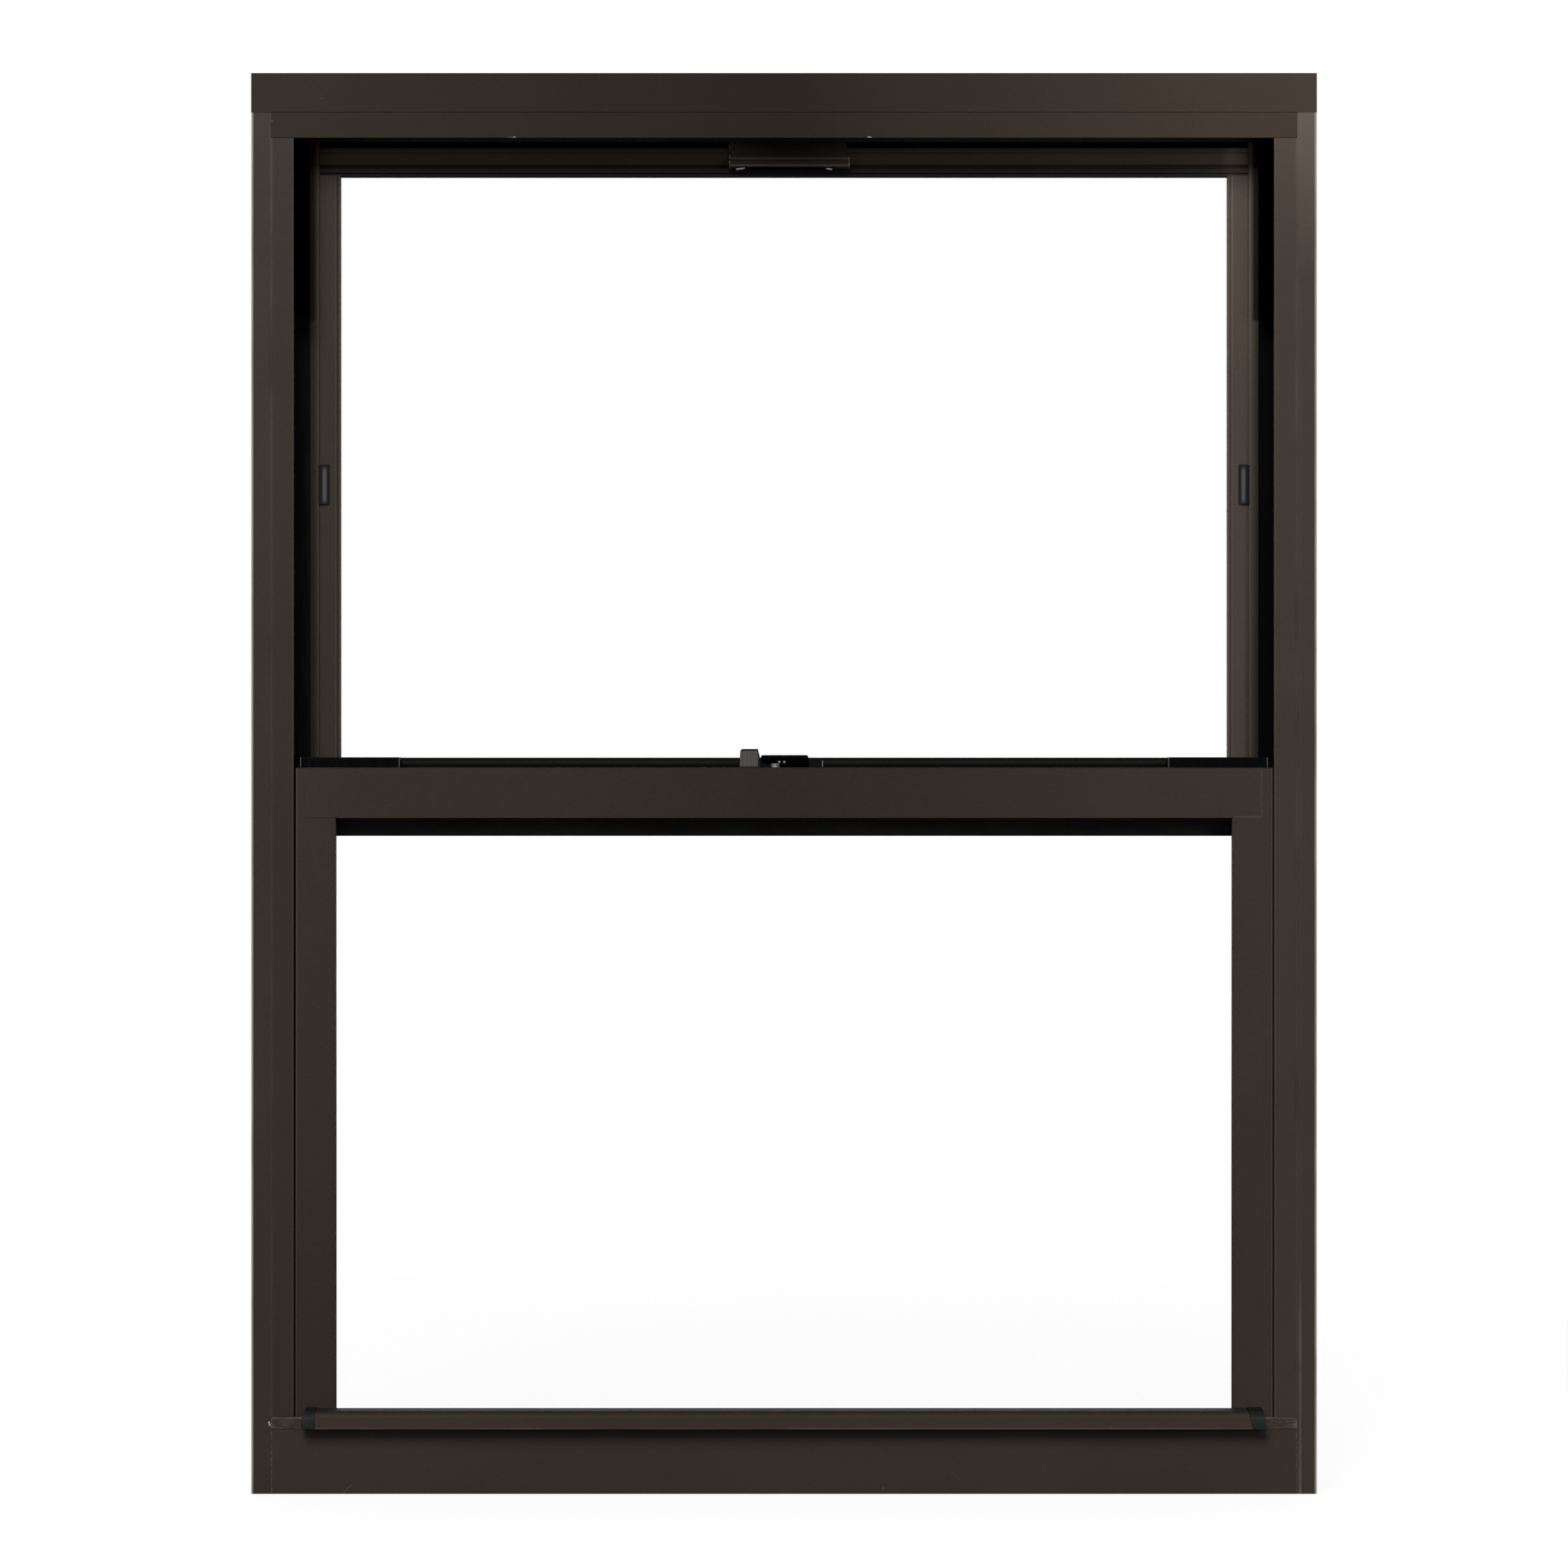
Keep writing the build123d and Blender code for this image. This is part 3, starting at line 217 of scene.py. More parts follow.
def worn_and_shaded_jamb(tree, place, axes, colour):
    """The right jamb painted lighter toward its top and the left one darker along the track, a painted
    reflection down the outer corner drawn as a thin line of bare metal, a painted highlight on the inner
    edge, painted highlights along the two fine lines with pale wear beside them on the right, painted shade
    in the inner corner, and dotted chips where the sill meets the cope."""
    across = either_side(tree, axes["X"])
    along = noise(tree, place, 14.0, 4.0)
    # painted light: the right jamb lighter toward its top
    past_cope = ramp(tree, axes["X"], COPE_AT - 0.002, COPE_AT + 0.001, 0.6, 1.55)
    painted_top_light = product(tree, ramp(tree, axes["Z"], *JAMB_TOP_LIGHT_AT), past_cope)
    left = ramp(tree, axes["X"], 0.001 - COPE_AT, 0.002 - COPE_AT, 0.96, 0.86)
    colour = scaled(tree, colour, by_side(tree, axes, left, sum_of(tree, painted_top_light, 1.0)))
    # painted highlight along the inner edge
    inner = product(tree, near(tree, across, JAMB_INNER_AT + 0.0010, 0.0004), 0.02)
    colour = bared(tree, colour, inner)
    # painted shade in the inner corner by the track
    shade_to = by_side(tree, axes, JAMB_INNER_AT + 0.0004, JAMB_INNER_AT)
    colour = scaled(tree, colour, ramp(tree, across, shade_to, sum_of(tree, shade_to, 0.0002), 0.06, 1.0))
    # painted highlights along the two fine lines
    lines = product(
        tree, near(tree, across, COPE_AT, 0.0015), ramp(tree, along, 0.35, 0.6, 0.005, 0.035),
        ramp(tree, axes["Z"], 0.75, 1.05, 0.5, 1.0),
    )
    colour = bared(tree, colour, lines)
    beside = near(tree, axes["X"], COPE_AT + 0.0028, 0.0012)
    low = ramp(tree, axes["Z"], *SMEARED_AT, 0.1, 1.0)
    smear = product(tree, beside, ramp(tree, along, 0.4, 0.6, 0.03, 0.07), low)
    colour = bared(tree, colour, smear)
    dots = ramp(tree, noise(tree, place, 1000.0, 2.0), 0.52, 0.66, 0.0, 0.13)
    joint = ramp(tree, axes["Z"], SILL_TOP_AT, SILL_TOP_AT - 0.0060)
    chips = product(tree, near(tree, across, COPE_AT, 0.0007), joint, dots)
    colour = bared(tree, colour, chips)
    # painted reflection down the outer corner, drawn as a thin line of bare metal
    outer = ramp(tree, across, JAMB_EDGE_AT - 0.0022, JAMB_EDGE_AT - 0.0012)
    room = ramp(tree, axes["Y"], ROOM_FACE_AT + 0.0006, ROOM_FACE_AT + 0.0002)
    corner = product(tree, outer, room, ramp(tree, along, 0.3, 0.55, 0.22, 0.42))
    return bared(tree, colour, corner)


dress(
    bronze_paint("jamb_paint", DARK_BRONZE, LIGHT_BRONZE, (1.02, 1.0, 1.20), marks=worn_and_shaded_jamb),
    "left_jamb", "right_jamb",
)


# The sill: a hollow extrusion cut between the jambs, with a dam leg that shows from the room.
# Water and hands have soiled its ledge, and its ends are chipped where they meet the jambs.
LEDGE_AT = 0.0552
RUST = (0.30, 0.15, 0.11, 1.0)
RUST_AT = 0.0605
SCRATCH_SLOPE = 1.1
SCRATCH_FOOT = -0.3795
SILL_CHIPS = ((0.0850, 0.0049, 0.0010, 0.0005, 0.10),)


def soiled_sill(tree, place, axes, colour):
    """A painted highlight along the upper edge, blotches of dirt along the ledge, dotted chips at the two
    ends, a rusty chip on the right, a slanting scratch near the lower left corner and a fleck by the lower
    edge."""
    across = either_side(tree, axes["X"])
    ledge = ramp(tree, axes["Z"], LEDGE_AT, LEDGE_AT + 0.0006)
    blotch = ramp(tree, noise(tree, place, 240.0, 5.0, (0.5, 1.0, 1.6)), 0.45, 0.70, 0.0, 0.045)
    colour = bared(tree, colour, product(tree, ledge, blotch))
    # painted highlight along the upper edge
    edge = ramp(tree, axes["Z"], SILL_TOP_AT - 0.0014, SILL_TOP_AT - 0.0007, 0.0, 0.06)
    colour = bared(tree, colour, edge)
    dots = ramp(tree, noise(tree, place, 1000.0, 2.0), 0.50, 0.66, 0.0, 0.18)
    end = ramp(tree, across, COPE_AT - 0.0009, COPE_AT - 0.0006)
    colour = bared(tree, colour, product(tree, end, dots))
    rust = product(
        tree, near(tree, axes["X"], COPE_AT - 0.0012, 0.0016), near(tree, axes["Z"], RUST_AT, 0.0035),
        ramp(tree, noise(tree, place, 700.0, 2.0), 0.4, 0.6, 0.05, 0.30),
    )
    colour = blend(tree, rust, colour, RUST)
    slant = sum_of(tree, axes["X"], product(tree, axes["Z"], -SCRATCH_SLOPE))
    scratch = product(tree, near(tree, slant, SCRATCH_FOOT, 0.0003), near(tree, axes["Z"], 0.0045, 0.0032))
    colour = bared(tree, colour, product(tree, scratch, 0.07))
    return chipped(tree, axes, colour, SILL_CHIPS)


dress(bronze_paint("sill_paint", DARK_BRONZE, LIGHT_BRONZE, (1.06, 1.02, 1.06), marks=soiled_sill), "sill")


# The tracks: black vinyl liners pushed into the jambs, with sash stop blocks at their heads, and a
# bulb seal in the head's pocket. The vinyl is satin, with a film of dust along its length.
def black_vinyl(name, base, dust, rough, gloss=0.4, marks=None):
    """Black plastic: fine moulded grain, dust in streaks along Z, and marks on top of them."""
    finish, tree, shader, place = start_finish(name)
    axes = node(tree, "ShaderNodeSeparateXYZ", {0: place}).outputs
    streaks = noise(tree, place, 60.0, 3.0, (6.0, 6.0, 0.5))
    grain = noise(tree, place, 1500.0, 1.0)
    colour = blend(tree, ramp(tree, streaks, 0.45, 0.8), base, dust)
    if marks is not None:
        colour = marks(tree, place, axes, colour)
    bump = node(tree, "ShaderNodeBump", {"Height": grain, "Strength": 0.08, "Distance": 0.0003})
    tree.links.new(colour, shader.inputs["Base Color"])
    tree.links.new(ramp(tree, grain, 0.3, 0.7, rough - 0.05, rough + 0.05), shader.inputs["Roughness"])
    tree.links.new(bump.outputs["Normal"], shader.inputs["Normal"])
    shader.inputs["Specular IOR Level"].default_value = gloss
    return finish


def grey(level):
    """A neutral colour."""
    return (level, level, level, 1.0)


def dusty_track(tree, place, axes, colour):
    """More dust on the left track than on the right."""
    return scaled(tree, colour, by_side(tree, axes, 1.9, 0.25))


dress(
    black_vinyl("track_vinyl", grey(0.0010), grey(0.0028), 0.5, 0.03, dusty_track),
    "left_track_liner", "right_track_liner", "left_outer_liner", "right_outer_liner",
)
dress(
    black_vinyl("stop_block_vinyl", grey(0.0001), grey(0.0003), 0.6, 0.0),
    "left_stop_block", "right_stop_block",
)
dress(
    black_vinyl("seal_rubber", grey(0.0006), grey(0.0015), 0.75, 0.05),
    "head_seal", "lower_gasket", "upper_gasket",
)


# The lower sash: stiles and rails of the same painted extrusion, butted and screwed at the corners,
# with a snapped-in painted bead round the glass. Its outer corners carry a painted highlight, painted
# shade darkens the gap beside the jambs, and the seams are rubbed pale.
SASH_EDGE_AT = 0.4200
LOWER_SEAM_AT = 0.4102
LOWER_TOP_AT = 0.6230
LOWER_RAIL_FOOT_AT = 0.5800
STILE_FACE_AT = 0.3872
DAYLIGHT_AT = 0.3850
LEAN = 0.0007


def only_on(tree, part, factor):
    """A factor where part is 1, and 1 where part is 0."""
    return ramp(tree, part, 0.0, 1.0, 1.0, factor)


def rubbed_and_shaded_lower_sash(tree, place, axes, colour):
    """The left stile darker toward its foot, painted highlights on the outer corners, painted shade in the
    gap beside the jamb that widens upward on the left, on the meeting rail's top and on the bead below
    it, and dotted seams beside the top rail. The right seam is more worn, and so is the rail's foot beside
    it."""
    across = either_side(tree, axes["X"])
    left = ramp(tree, axes["Z"], 0.08, 0.45, 0.84, 0.98)
    colour = scaled(tree, colour, by_side(tree, axes, left, 1.0))
    lean = product(tree, by_side(tree, axes, -LEAN, 0.0), ramp(tree, axes["Z"], 0.10, 0.62))
    edge = sum_of(tree, lean, SASH_EDGE_AT)
    # painted highlight just inside each outer corner
    corner = product(tree, near(tree, across, sum_of(tree, edge, -0.0008), 0.0006), 0.045)
    colour = bared(tree, colour, corner)
    # painted shade in the gap beside the jamb, on the meeting rail's top and on the bead below it
    gap = ramp(tree, across, edge, sum_of(tree, edge, 0.0002), 1.0, 0.06)
    top = ramp(tree, axes["Z"], LOWER_TOP_AT - 0.0006, LOWER_TOP_AT, 1.0, 0.25)
    within = ramp(tree, across, DAYLIGHT_AT, DAYLIGHT_AT - 0.0001)
    bead = product(tree, near(tree, axes["Z"], LOWER_RAIL_FOOT_AT - 0.0020, 0.0019), within)
    colour = scaled(tree, colour, product(tree, gap, top, only_on(tree, bead, 0.08)))
    dots = product(
        tree, ramp(tree, noise(tree, place, 500.0, 2.0), 0.45, 0.65, 0.004, 0.03),
        by_side(tree, axes, 0.5, 2.0),
    )
    beside_rail = ramp(tree, axes["Z"], LOWER_RAIL_FOOT_AT - 0.001, LOWER_RAIL_FOOT_AT + 0.001)
    seam = product(tree, near(tree, across, LOWER_SEAM_AT, 0.0006), beside_rail, dots)
    colour = bared(tree, colour, seam)
    foot = product(
        tree, near(tree, axes["Z"], LOWER_RAIL_FOOT_AT + 0.0006, 0.0010),
        ramp(tree, axes["X"], STILE_FACE_AT, STILE_FACE_AT + 0.0008),
        ramp(tree, axes["X"], LOWER_SEAM_AT, LOWER_SEAM_AT - 0.0004), 0.03,
    )
    return bared(tree, colour, foot)


dress(
    bronze_paint("lower_sash_paint", DARK_BRONZE, LIGHT_BRONZE, (0.98, 0.66, 1.04), marks=rubbed_and_shaded_lower_sash),
    "lower_left_stile", "lower_right_stile", "lower_top_rail", "lower_bottom_rail", "lower_bead",
)


# The upper sash, behind the lower one: its stiles are grooved beside the outer strip, and its
# bottom rail, half hidden by the lower sash's top rail, is nearly black with painted shade.
UPPER_GROOVE_AT = 0.4032
TRACK_AT = 0.4125
STOP_FOOT_AT = 1.0105
INNER_CORNER_AT = 0.3889
NIB_AT = 0.3858
UPPER_BEAD_AT = 0.6320
UPPER_RAIL_FOOT_AT = 1.1370
RAIL_END_AT = (0.33, 0.39)
RAIL_RIDGE_AT = 1.1587
RAIL_LINE_AT = 1.1571
RAIL_GROOVE_AT = 1.1459
RAIL_SHADE_AT = (1.1470, 1.1440)
STILE_TOP_LIGHT_AT = (0.95, 1.13)
STRIP_SHADE_AT = (0.70, 1.00)


def grooved_top_rail(tree, axes, colour, rail):
    """On the part where rail is 1: a painted highlight on the ridge with a painted shade line below it,
    painted shade in the groove and along the foot, and the right end painted brighter."""
    # painted highlight on the ridge, painted shade below it, in the groove and along the foot
    ridge = product(tree, near(tree, axes["Z"], RAIL_RIDGE_AT, 0.0009), rail, 0.018)
    colour = bared(tree, colour, ridge)
    foot_shade = ramp(tree, axes["X"], *RAIL_END_AT, 0.05, 0.4)
    foot = ramp(tree, axes["Z"], *RAIL_SHADE_AT, 1.0, foot_shade)
    line = only_on(tree, near(tree, axes["Z"], RAIL_LINE_AT, 0.0004), 0.5)
    groove = only_on(tree, near(tree, axes["Z"], RAIL_GROOVE_AT, 0.0008), 0.3)
    end = ramp(tree, axes["X"], *RAIL_END_AT, 1.0, 1.4)
    return scaled(tree, colour, only_on(tree, rail, product(tree, foot, line, groove, end)))


def shaded_upper_sash(tree, place, axes, colour):
    """The right stile painted lighter toward its top, painted shade along the tracks that fades out over
    the stiles' strips and is deeper low down and beside the stop blocks, painted highlights at the
    grooves, on the stiles' rounded inner corners and on the bead, painted shade on the lowest bead,
    and the top rail's painted light and shade."""
    across = either_side(tree, axes["X"])
    # painted light: the right stile lighter toward its top
    right = ramp(tree, axes["X"], 0.380, 0.386)
    painted_top_light = product(tree, right, ramp(tree, axes["Z"], *STILE_TOP_LIGHT_AT, 0.14, 0.6))
    colour = scaled(tree, colour, sum_of(tree, painted_top_light, 1.0))
    # painted shade along the tracks, fading out over the stiles' strips, deeper low down and beside the stop
    # blocks
    low_shade = ramp(tree, axes["Z"], *STRIP_SHADE_AT, 0.68, 1.0)
    shade_from = by_side(tree, axes, UPPER_GROOVE_AT, UPPER_GROOVE_AT - 0.0032)
    strips = ramp(tree, across, shade_from, sum_of(tree, shade_from, 0.0004), 1.0, low_shade)
    colour = scaled(tree, colour, strips)
    colour = scaled(tree, colour, ramp(tree, across, TRACK_AT, TRACK_AT - 0.0070, 0.22, 1.0))
    beside_stop = ramp(tree, across, TRACK_AT - 0.0040, TRACK_AT - 0.0068, 0.06, 1.0)
    by_stop = ramp(tree, axes["Z"], STOP_FOOT_AT, STOP_FOOT_AT + 0.0020, 1.0, beside_stop)
    colour = scaled(tree, colour, by_stop)
    # painted highlights at the grooves, on the stiles' inner corners and on the bead's nib
    below_rail = ramp(tree, axes["Z"], UPPER_RAIL_FOOT_AT + 0.0015, UPPER_RAIL_FOOT_AT)
    strip = product(tree, near(tree, across, UPPER_GROOVE_AT + 0.0015, 0.0008), 0.02)
    colour = bared(tree, colour, strip)
    inner_share = ramp(tree, painted_top_light, 0.14, 0.6, 0.02, 0.07)
    inner = product(tree, near(tree, across, INNER_CORNER_AT, 0.0009), below_rail, inner_share)
    colour = bared(tree, colour, inner)
    nib = product(tree, near(tree, across, NIB_AT, 0.0009), below_rail, 0.02)
    colour = bared(tree, colour, nib)
    # painted shade on the lowest bead, just above the meeting rail
    within = ramp(tree, across, DAYLIGHT_AT, DAYLIGHT_AT - 0.0001)
    bead = product(tree, near(tree, axes["Z"], UPPER_BEAD_AT, 0.0020), within)
    colour = scaled(tree, colour, only_on(tree, bead, 0.12))
    between = ramp(tree, across, UPPER_GROOVE_AT, UPPER_GROOVE_AT - 0.0004)
    rail = product(tree, between, ramp(tree, below_rail, 1.0, 0.0))
    return grooved_top_rail(tree, axes, colour, rail)


dress(
    bronze_paint("upper_sash_paint", DARK_BRONZE, LIGHT_BRONZE, (0.90, 0.8, 1.48), marks=shaded_upper_sash),
    "upper_left_stile", "upper_right_stile", "upper_top_rail", "upper_bead",
)


MEETING_STEP_AT = 0.6290
MEETING_MIDDLE_AT = 0.600
MEETING_FOOT_AT = 0.5640


def shaded_meeting_rail(tree, place, axes, colour):
    """Painted light on a band below the rail's upper step, near-black painted shade where the two
    sashes meet, and painted shade that thins toward the rail's lower edge."""
    # painted light on a band below the step, painted shade above it and toward the rail's middle
    paler = ramp(tree, axes["Z"], MEETING_STEP_AT - 0.0035, MEETING_STEP_AT, 0.20, 1.7)
    upper = ramp(tree, axes["Z"], MEETING_STEP_AT, MEETING_STEP_AT + 0.0002, paler, 0.45)
    lower = ramp(tree, axes["Z"], MEETING_FOOT_AT, MEETING_FOOT_AT + 0.0160, 2.9, 0.8)
    shown = ramp(tree, axes["Z"], MEETING_MIDDLE_AT, MEETING_MIDDLE_AT + 0.001)
    return scaled(tree, colour, ramp(tree, shown, 0.0, 1.0, lower, upper))


# the rail's two near-black browns are painted shade: it lies in the shadow of the lower sash's top rail
MEETING_SHADE_DARK = (0.0068, 0.0069, 0.0062, 1.0)
MEETING_SHADE_LIGHT = (0.0092, 0.0092, 0.0083, 1.0)
NO_PAINTED_LIGHT = (1.0, 1.0, 1.0)
dress(
    bronze_paint(
        "meeting_rail_paint", MEETING_SHADE_DARK, MEETING_SHADE_LIGHT, NO_PAINTED_LIGHT, 0.45, 0.03, shaded_meeting_rail,
    ),
    "upper_bottom_rail",
)


# The glass: two panes of clear float glass in each sash, held apart by a dark sealed spacer.
# The panes are clean, with the faintest haze.
def clear_glass(name):
    """Clear glass whose roughness has a very faint haze."""
    finish, tree, shader, place = start_finish(name)
    haze = noise(tree, place, 9.0, 3.0)
    shader.inputs["Base Color"].default_value = (1.0, 1.0, 1.0, 1.0)
    shader.inputs["Transmission Weight"].default_value = 1.0
    shader.inputs["IOR"].default_value = 1.1
    tree.links.new(ramp(tree, haze, 0.3, 0.8, 0.0, 0.008), shader.inputs["Roughness"])
    return finish


dress(
    clear_glass("clear_glass"),
    "lower_inner_glass", "lower_outer_glass", "upper_inner_glass", "upper_outer_glass",
)
dress(
    black_vinyl("spacer_bar", grey(0.012), grey(0.02), 0.4),
    "lower_spacer", "upper_spacer",
)


# The lift rail: a hooked strip of painted extrusion screwed along the lower sash's bottom rail,
# with a fine crease along its nose, painted shade on top, and black moulded caps on its ends.
NOSE_AT = 0.0670
LIFT_FOOT_AT = 0.0585


def shaded_lift(tree, place, axes, colour):
    """Painted shade above the nose, a faint painted highlight on the crease, a pale lower edge in places and
    small scuffs.
    """
    # painted shade above the nose
    top = ramp(tree, axes["Z"], NOSE_AT, NOSE_AT + 0.0060, 1.0, 0.40)
    colour = scaled(tree, colour, top)
    # painted highlight along the crease
    crease = product(tree, near(tree, axes["Z"], NOSE_AT - 0.0001, 0.0006), 0.012)
    colour = bared(tree, colour, crease)
    along = ramp(tree, noise(tree, place, 9.0, 3.0), 0.4, 0.65, 0.01, 0.07)
    foot = product(tree, near(tree, axes["Z"], LIFT_FOOT_AT, 0.0005), along)
    colour = bared(tree, colour, foot)
    scuffs = ramp(tree, noise(tree, place, 90.0, 4.0, (0.35, 1.0, 1.0)), 0.64, 0.78, 0.0, 0.03)
    return bared(tree, colour, scuffs)


def shaded_cap(tree, place, axes, colour):
    """Painted shade above the nose and along the lower edge."""
    top = ramp(tree, axes["Z"], NOSE_AT - 0.0005, NOSE_AT + 0.0060, 1.0, 0.35)
    foot = ramp(tree, axes["Z"], LIFT_FOOT_AT - 0.0005, LIFT_FOOT_AT + 0.0070, 0.70, 1.0)
    return scaled(tree, colour, product(tree, top, foot))


dress(
    bronze_paint("lift_rail_paint", DARK_BRONZE, LIGHT_BRONZE, (1.2, 1.1, 1.2), 0.5, 0.04, shaded_lift),
    "lift_rail",
)
dress(
    black_vinyl(
        "cap_moulding", (0.0175, 0.0185, 0.0180, 1.0), (0.0205, 0.0215, 0.0210, 1.0), 0.55, 0.05, shaded_cap,
    ),
    "lift_end_caps",
)


# The head pull: a short length of J-shaped extrusion fixed to the upper sash's top rail. Its cut
# ends are bare, its lip has painted highlights along both edges, and the bent ends of a steel strip show
# under it.
PULL_MIDDLE = 0.0045
PULL_ENDS_AT = (-0.0465, 0.0555)
LIP_EDGES_AT = (1.1505, 1.1441)
LIP_SHADE_AT = 1.1471
LIP_FRONT = -0.0195
PULL_DARK_AT = (1.160, 1.153)
# painted shade: the whole pull is darkened for the shade under the head's lip
PULL_PAINTED_SHADE = (0.42, 0.42, 0.42)


def lit_and_shaded_pull(tree, place, axes, colour):
    """Painted shade, darkest high up in the middle, with painted light toward the ends and low down,
    painted highlights along the lip's two edges, painted shade between them and glints on the left cut end."""
    aside = either_side(tree, sum_of(tree, axes["X"], -PULL_MIDDLE))
    # painted light toward the ends and low down, over painted shade high in the middle
    ends = ramp(tree, aside, 0.012, 0.046, 1.2, 2.3)
    low = ramp(tree, axes["Z"], *PULL_DARK_AT, 0.0, 0.6)
    colour = scaled(tree, colour, sum_of(tree, ends, low))
    # painted shade between the lip's edges
    front = ramp(tree, axes["Y"], LIP_FRONT + 0.0010, LIP_FRONT)
    between = product(tree, near(tree, axes["Z"], LIP_SHADE_AT, 0.0021), front)
    colour = scaled(tree, colour, only_on(tree, between, 0.40))
    # painted highlights along the lip's two edges
    for height in LIP_EDGES_AT:
        line = product(tree, near(tree, axes["Z"], height, 0.0010), front, 0.014)
        colour = bared(tree, colour, line)
    # glints painted on the left cut end
    glint = product(
        tree, ramp(tree, axes["X"], PULL_ENDS_AT[0], PULL_ENDS_AT[0] - 0.0006),
        ramp(tree, noise(tree, place, 300.0, 2.0), 0.5, 0.6, 0.0, 0.5),
    )
    colour = bared(tree, colour, glint)
    right_end = product(tree, ramp(tree, axes["X"], PULL_ENDS_AT[1], PULL_ENDS_AT[1] + 0.0007), 0.12)
    return bared(tree, colour, right_end)


dress(
    bronze_paint("head_pull_paint", DARK_BRONZE, LIGHT_BRONZE, PULL_PAINTED_SHADE, 0.4, 0.05, lit_and_shaded_pull),
    "head_pull",
)


STRIP_BENDS_AT = (0.0338, 0.0362)


def spring_strip(name):
    """Bare strip: pale metal with fine marks along X, painted nearly black with shade except at its two ends.
    """
    finish, tree, shader, place = start_finish(name)
    axes = node(tree, "ShaderNodeSeparateXYZ", {0: place}).outputs
    marks = noise(tree, place, 400.0, 2.0, (0.1, 1.0, 1.0))
    inner = ramp(tree, axes["X"], -0.01, 0.01, *STRIP_BENDS_AT)
    ends = ramp(tree, either_side(tree, axes["X"]), inner, sum_of(tree, inner, 0.0012))
    bare = blend(tree, marks, (0.55, 0.54, 0.52, 1.0), (0.80, 0.79, 0.77, 1.0))
    # painted shade: nearly black except at the two ends
    tree.links.new(blend(tree, ends, grey(0.0004), bare), shader.inputs["Base Color"])
    tree.links.new(ramp(tree, ends, 0.0, 1.0, 0.0, 0.3), shader.inputs["Specular IOR Level"])
    tree.links.new(ramp(tree, marks, 0.3, 0.7, 0.4, 0.6), shader.inputs["Roughness"])
    return finish


dress(spring_strip("spring_steel"), "pull_spring")


# The vent stops and the tilt latches: black mouldings let into the upper stiles and screwed on the
# lower sash's top rail. The stops carry a painted highlight down their crowns, and the latches at their ends.
STOP_CROWN_AT = 0.3988
STOP_SPAN = (0.8522, 0.8848)
# the colour of the painted highlight on the stops' crowns
CROWN_HIGHLIGHT = (0.070, 0.067, 0.071, 1.0)


def highlit_crown(tree, place, axes, colour):
    """A soft painted highlight down each stop's crown that fades out at its two ends."""
    aside = either_side(tree, sum_of(tree, either_side(tree, axes["X"]), -STOP_CROWN_AT))
    # painted highlight down each crown
    streak = product(
        tree, ramp(tree, aside, 0.0026, 0.0003),
        ramp(tree, axes["Z"], STOP_SPAN[1], STOP_SPAN[1] - 0.0038),
        ramp(tree, axes["Z"], STOP_SPAN[0], STOP_SPAN[0] + 0.0043),
    )
    return blend(tree, streak, colour, CROWN_HIGHLIGHT)


dress(
    black_vinyl(
        "vent_stop_moulding", (0.0110, 0.0105, 0.0110, 1.0), (0.0140, 0.0130, 0.0140, 1.0), 0.5, 0.06,
        highlit_crown,
    ),
    "vent_stops",
)
LATCH_ENDS_AT = (0.3309, 0.4160)


def highlit_latch(tree, place, axes, colour):
    """A painted highlight down the room corner at each end of a latch."""
    across = either_side(tree, axes["X"])
    front = ramp(tree, axes["Y"], -0.0390, -0.0400)
    # painted highlight down the room corner at each end
    for end in LATCH_ENDS_AT:
        pale = product(tree, near(tree, across, end, 0.0005), front, 0.12)
        colour = bared(tree, colour, pale)
    return colour


dress(
    black_vinyl(
        "latch_moulding", (0.0008, 0.0008, 0.0009, 1.0), (0.0022, 0.0022, 0.0024, 1.0), 0.45, 0.03,
        highlit_latch,
    ),
    "left_tilt_latch", "right_tilt_latch",
)


# The sweep lock: a die-cast base and lever on the lower sash and a cast keeper on the upper. The
# base is black, the lever's ribbed thumb piece has painted highlights on its rib tops, and two rivet heads
# hold the cam.
def highlit_lock(tree, place, axes, colour):
    """A painted highlight at the right end of the base and a greyer wing beside the housing."""
    colour = scaled(tree, colour, ramp(tree, axes["X"], 0.0205, 0.0225, 1.0, 14.0))
    # painted highlight at the right end of the base
    end = product(tree, near(tree, axes["X"], 0.0334, 0.0005), 0.25)
    return bared(tree, colour, end)


CAST_DARK = (0.0004, 0.0004, 0.0005, 1.0)
CAST_LIGHT = (0.0005, 0.0005, 0.0006, 1.0)
dress(
    bronze_paint("lock_base_paint", CAST_DARK, CAST_LIGHT, NO_PAINTED_LIGHT, 0.32, 0.012, highlit_lock),
    "lock_base", "lock_keeper",
)


def ribbed_thumb(tree, place, axes, colour):
    """Painted highlights on the thumb piece's rib tops and darker valleys between them, a dark arm,
    a darker top, and a painted highlight on the dome of the pivot."""
    thumb = ramp(tree, axes["X"], -0.0205, -0.0225, 0.05, 1.0)
    colour = scaled(tree, colour, thumb)
    colour = scaled(tree, colour, ramp(tree, axes["Z"], 0.6370, 0.6380, 1.0, 0.45))
    # painted highlights on the rib tops
    tops = product(tree, ramp(tree, axes["Y"], -0.0424, -0.0428), 0.125)
    colour = bared(tree, colour, tops)
    # painted highlight on the pivot's dome
    from_dome = node(tree, "ShaderNodeVectorMath", {0: place, 1: PIVOT_SPOT}, operation="DISTANCE")
    spot = ramp(tree, from_dome.outputs["Value"], 0.0024, 0.0006, 0.0, 0.32)
    return bared(tree, colour, spot)


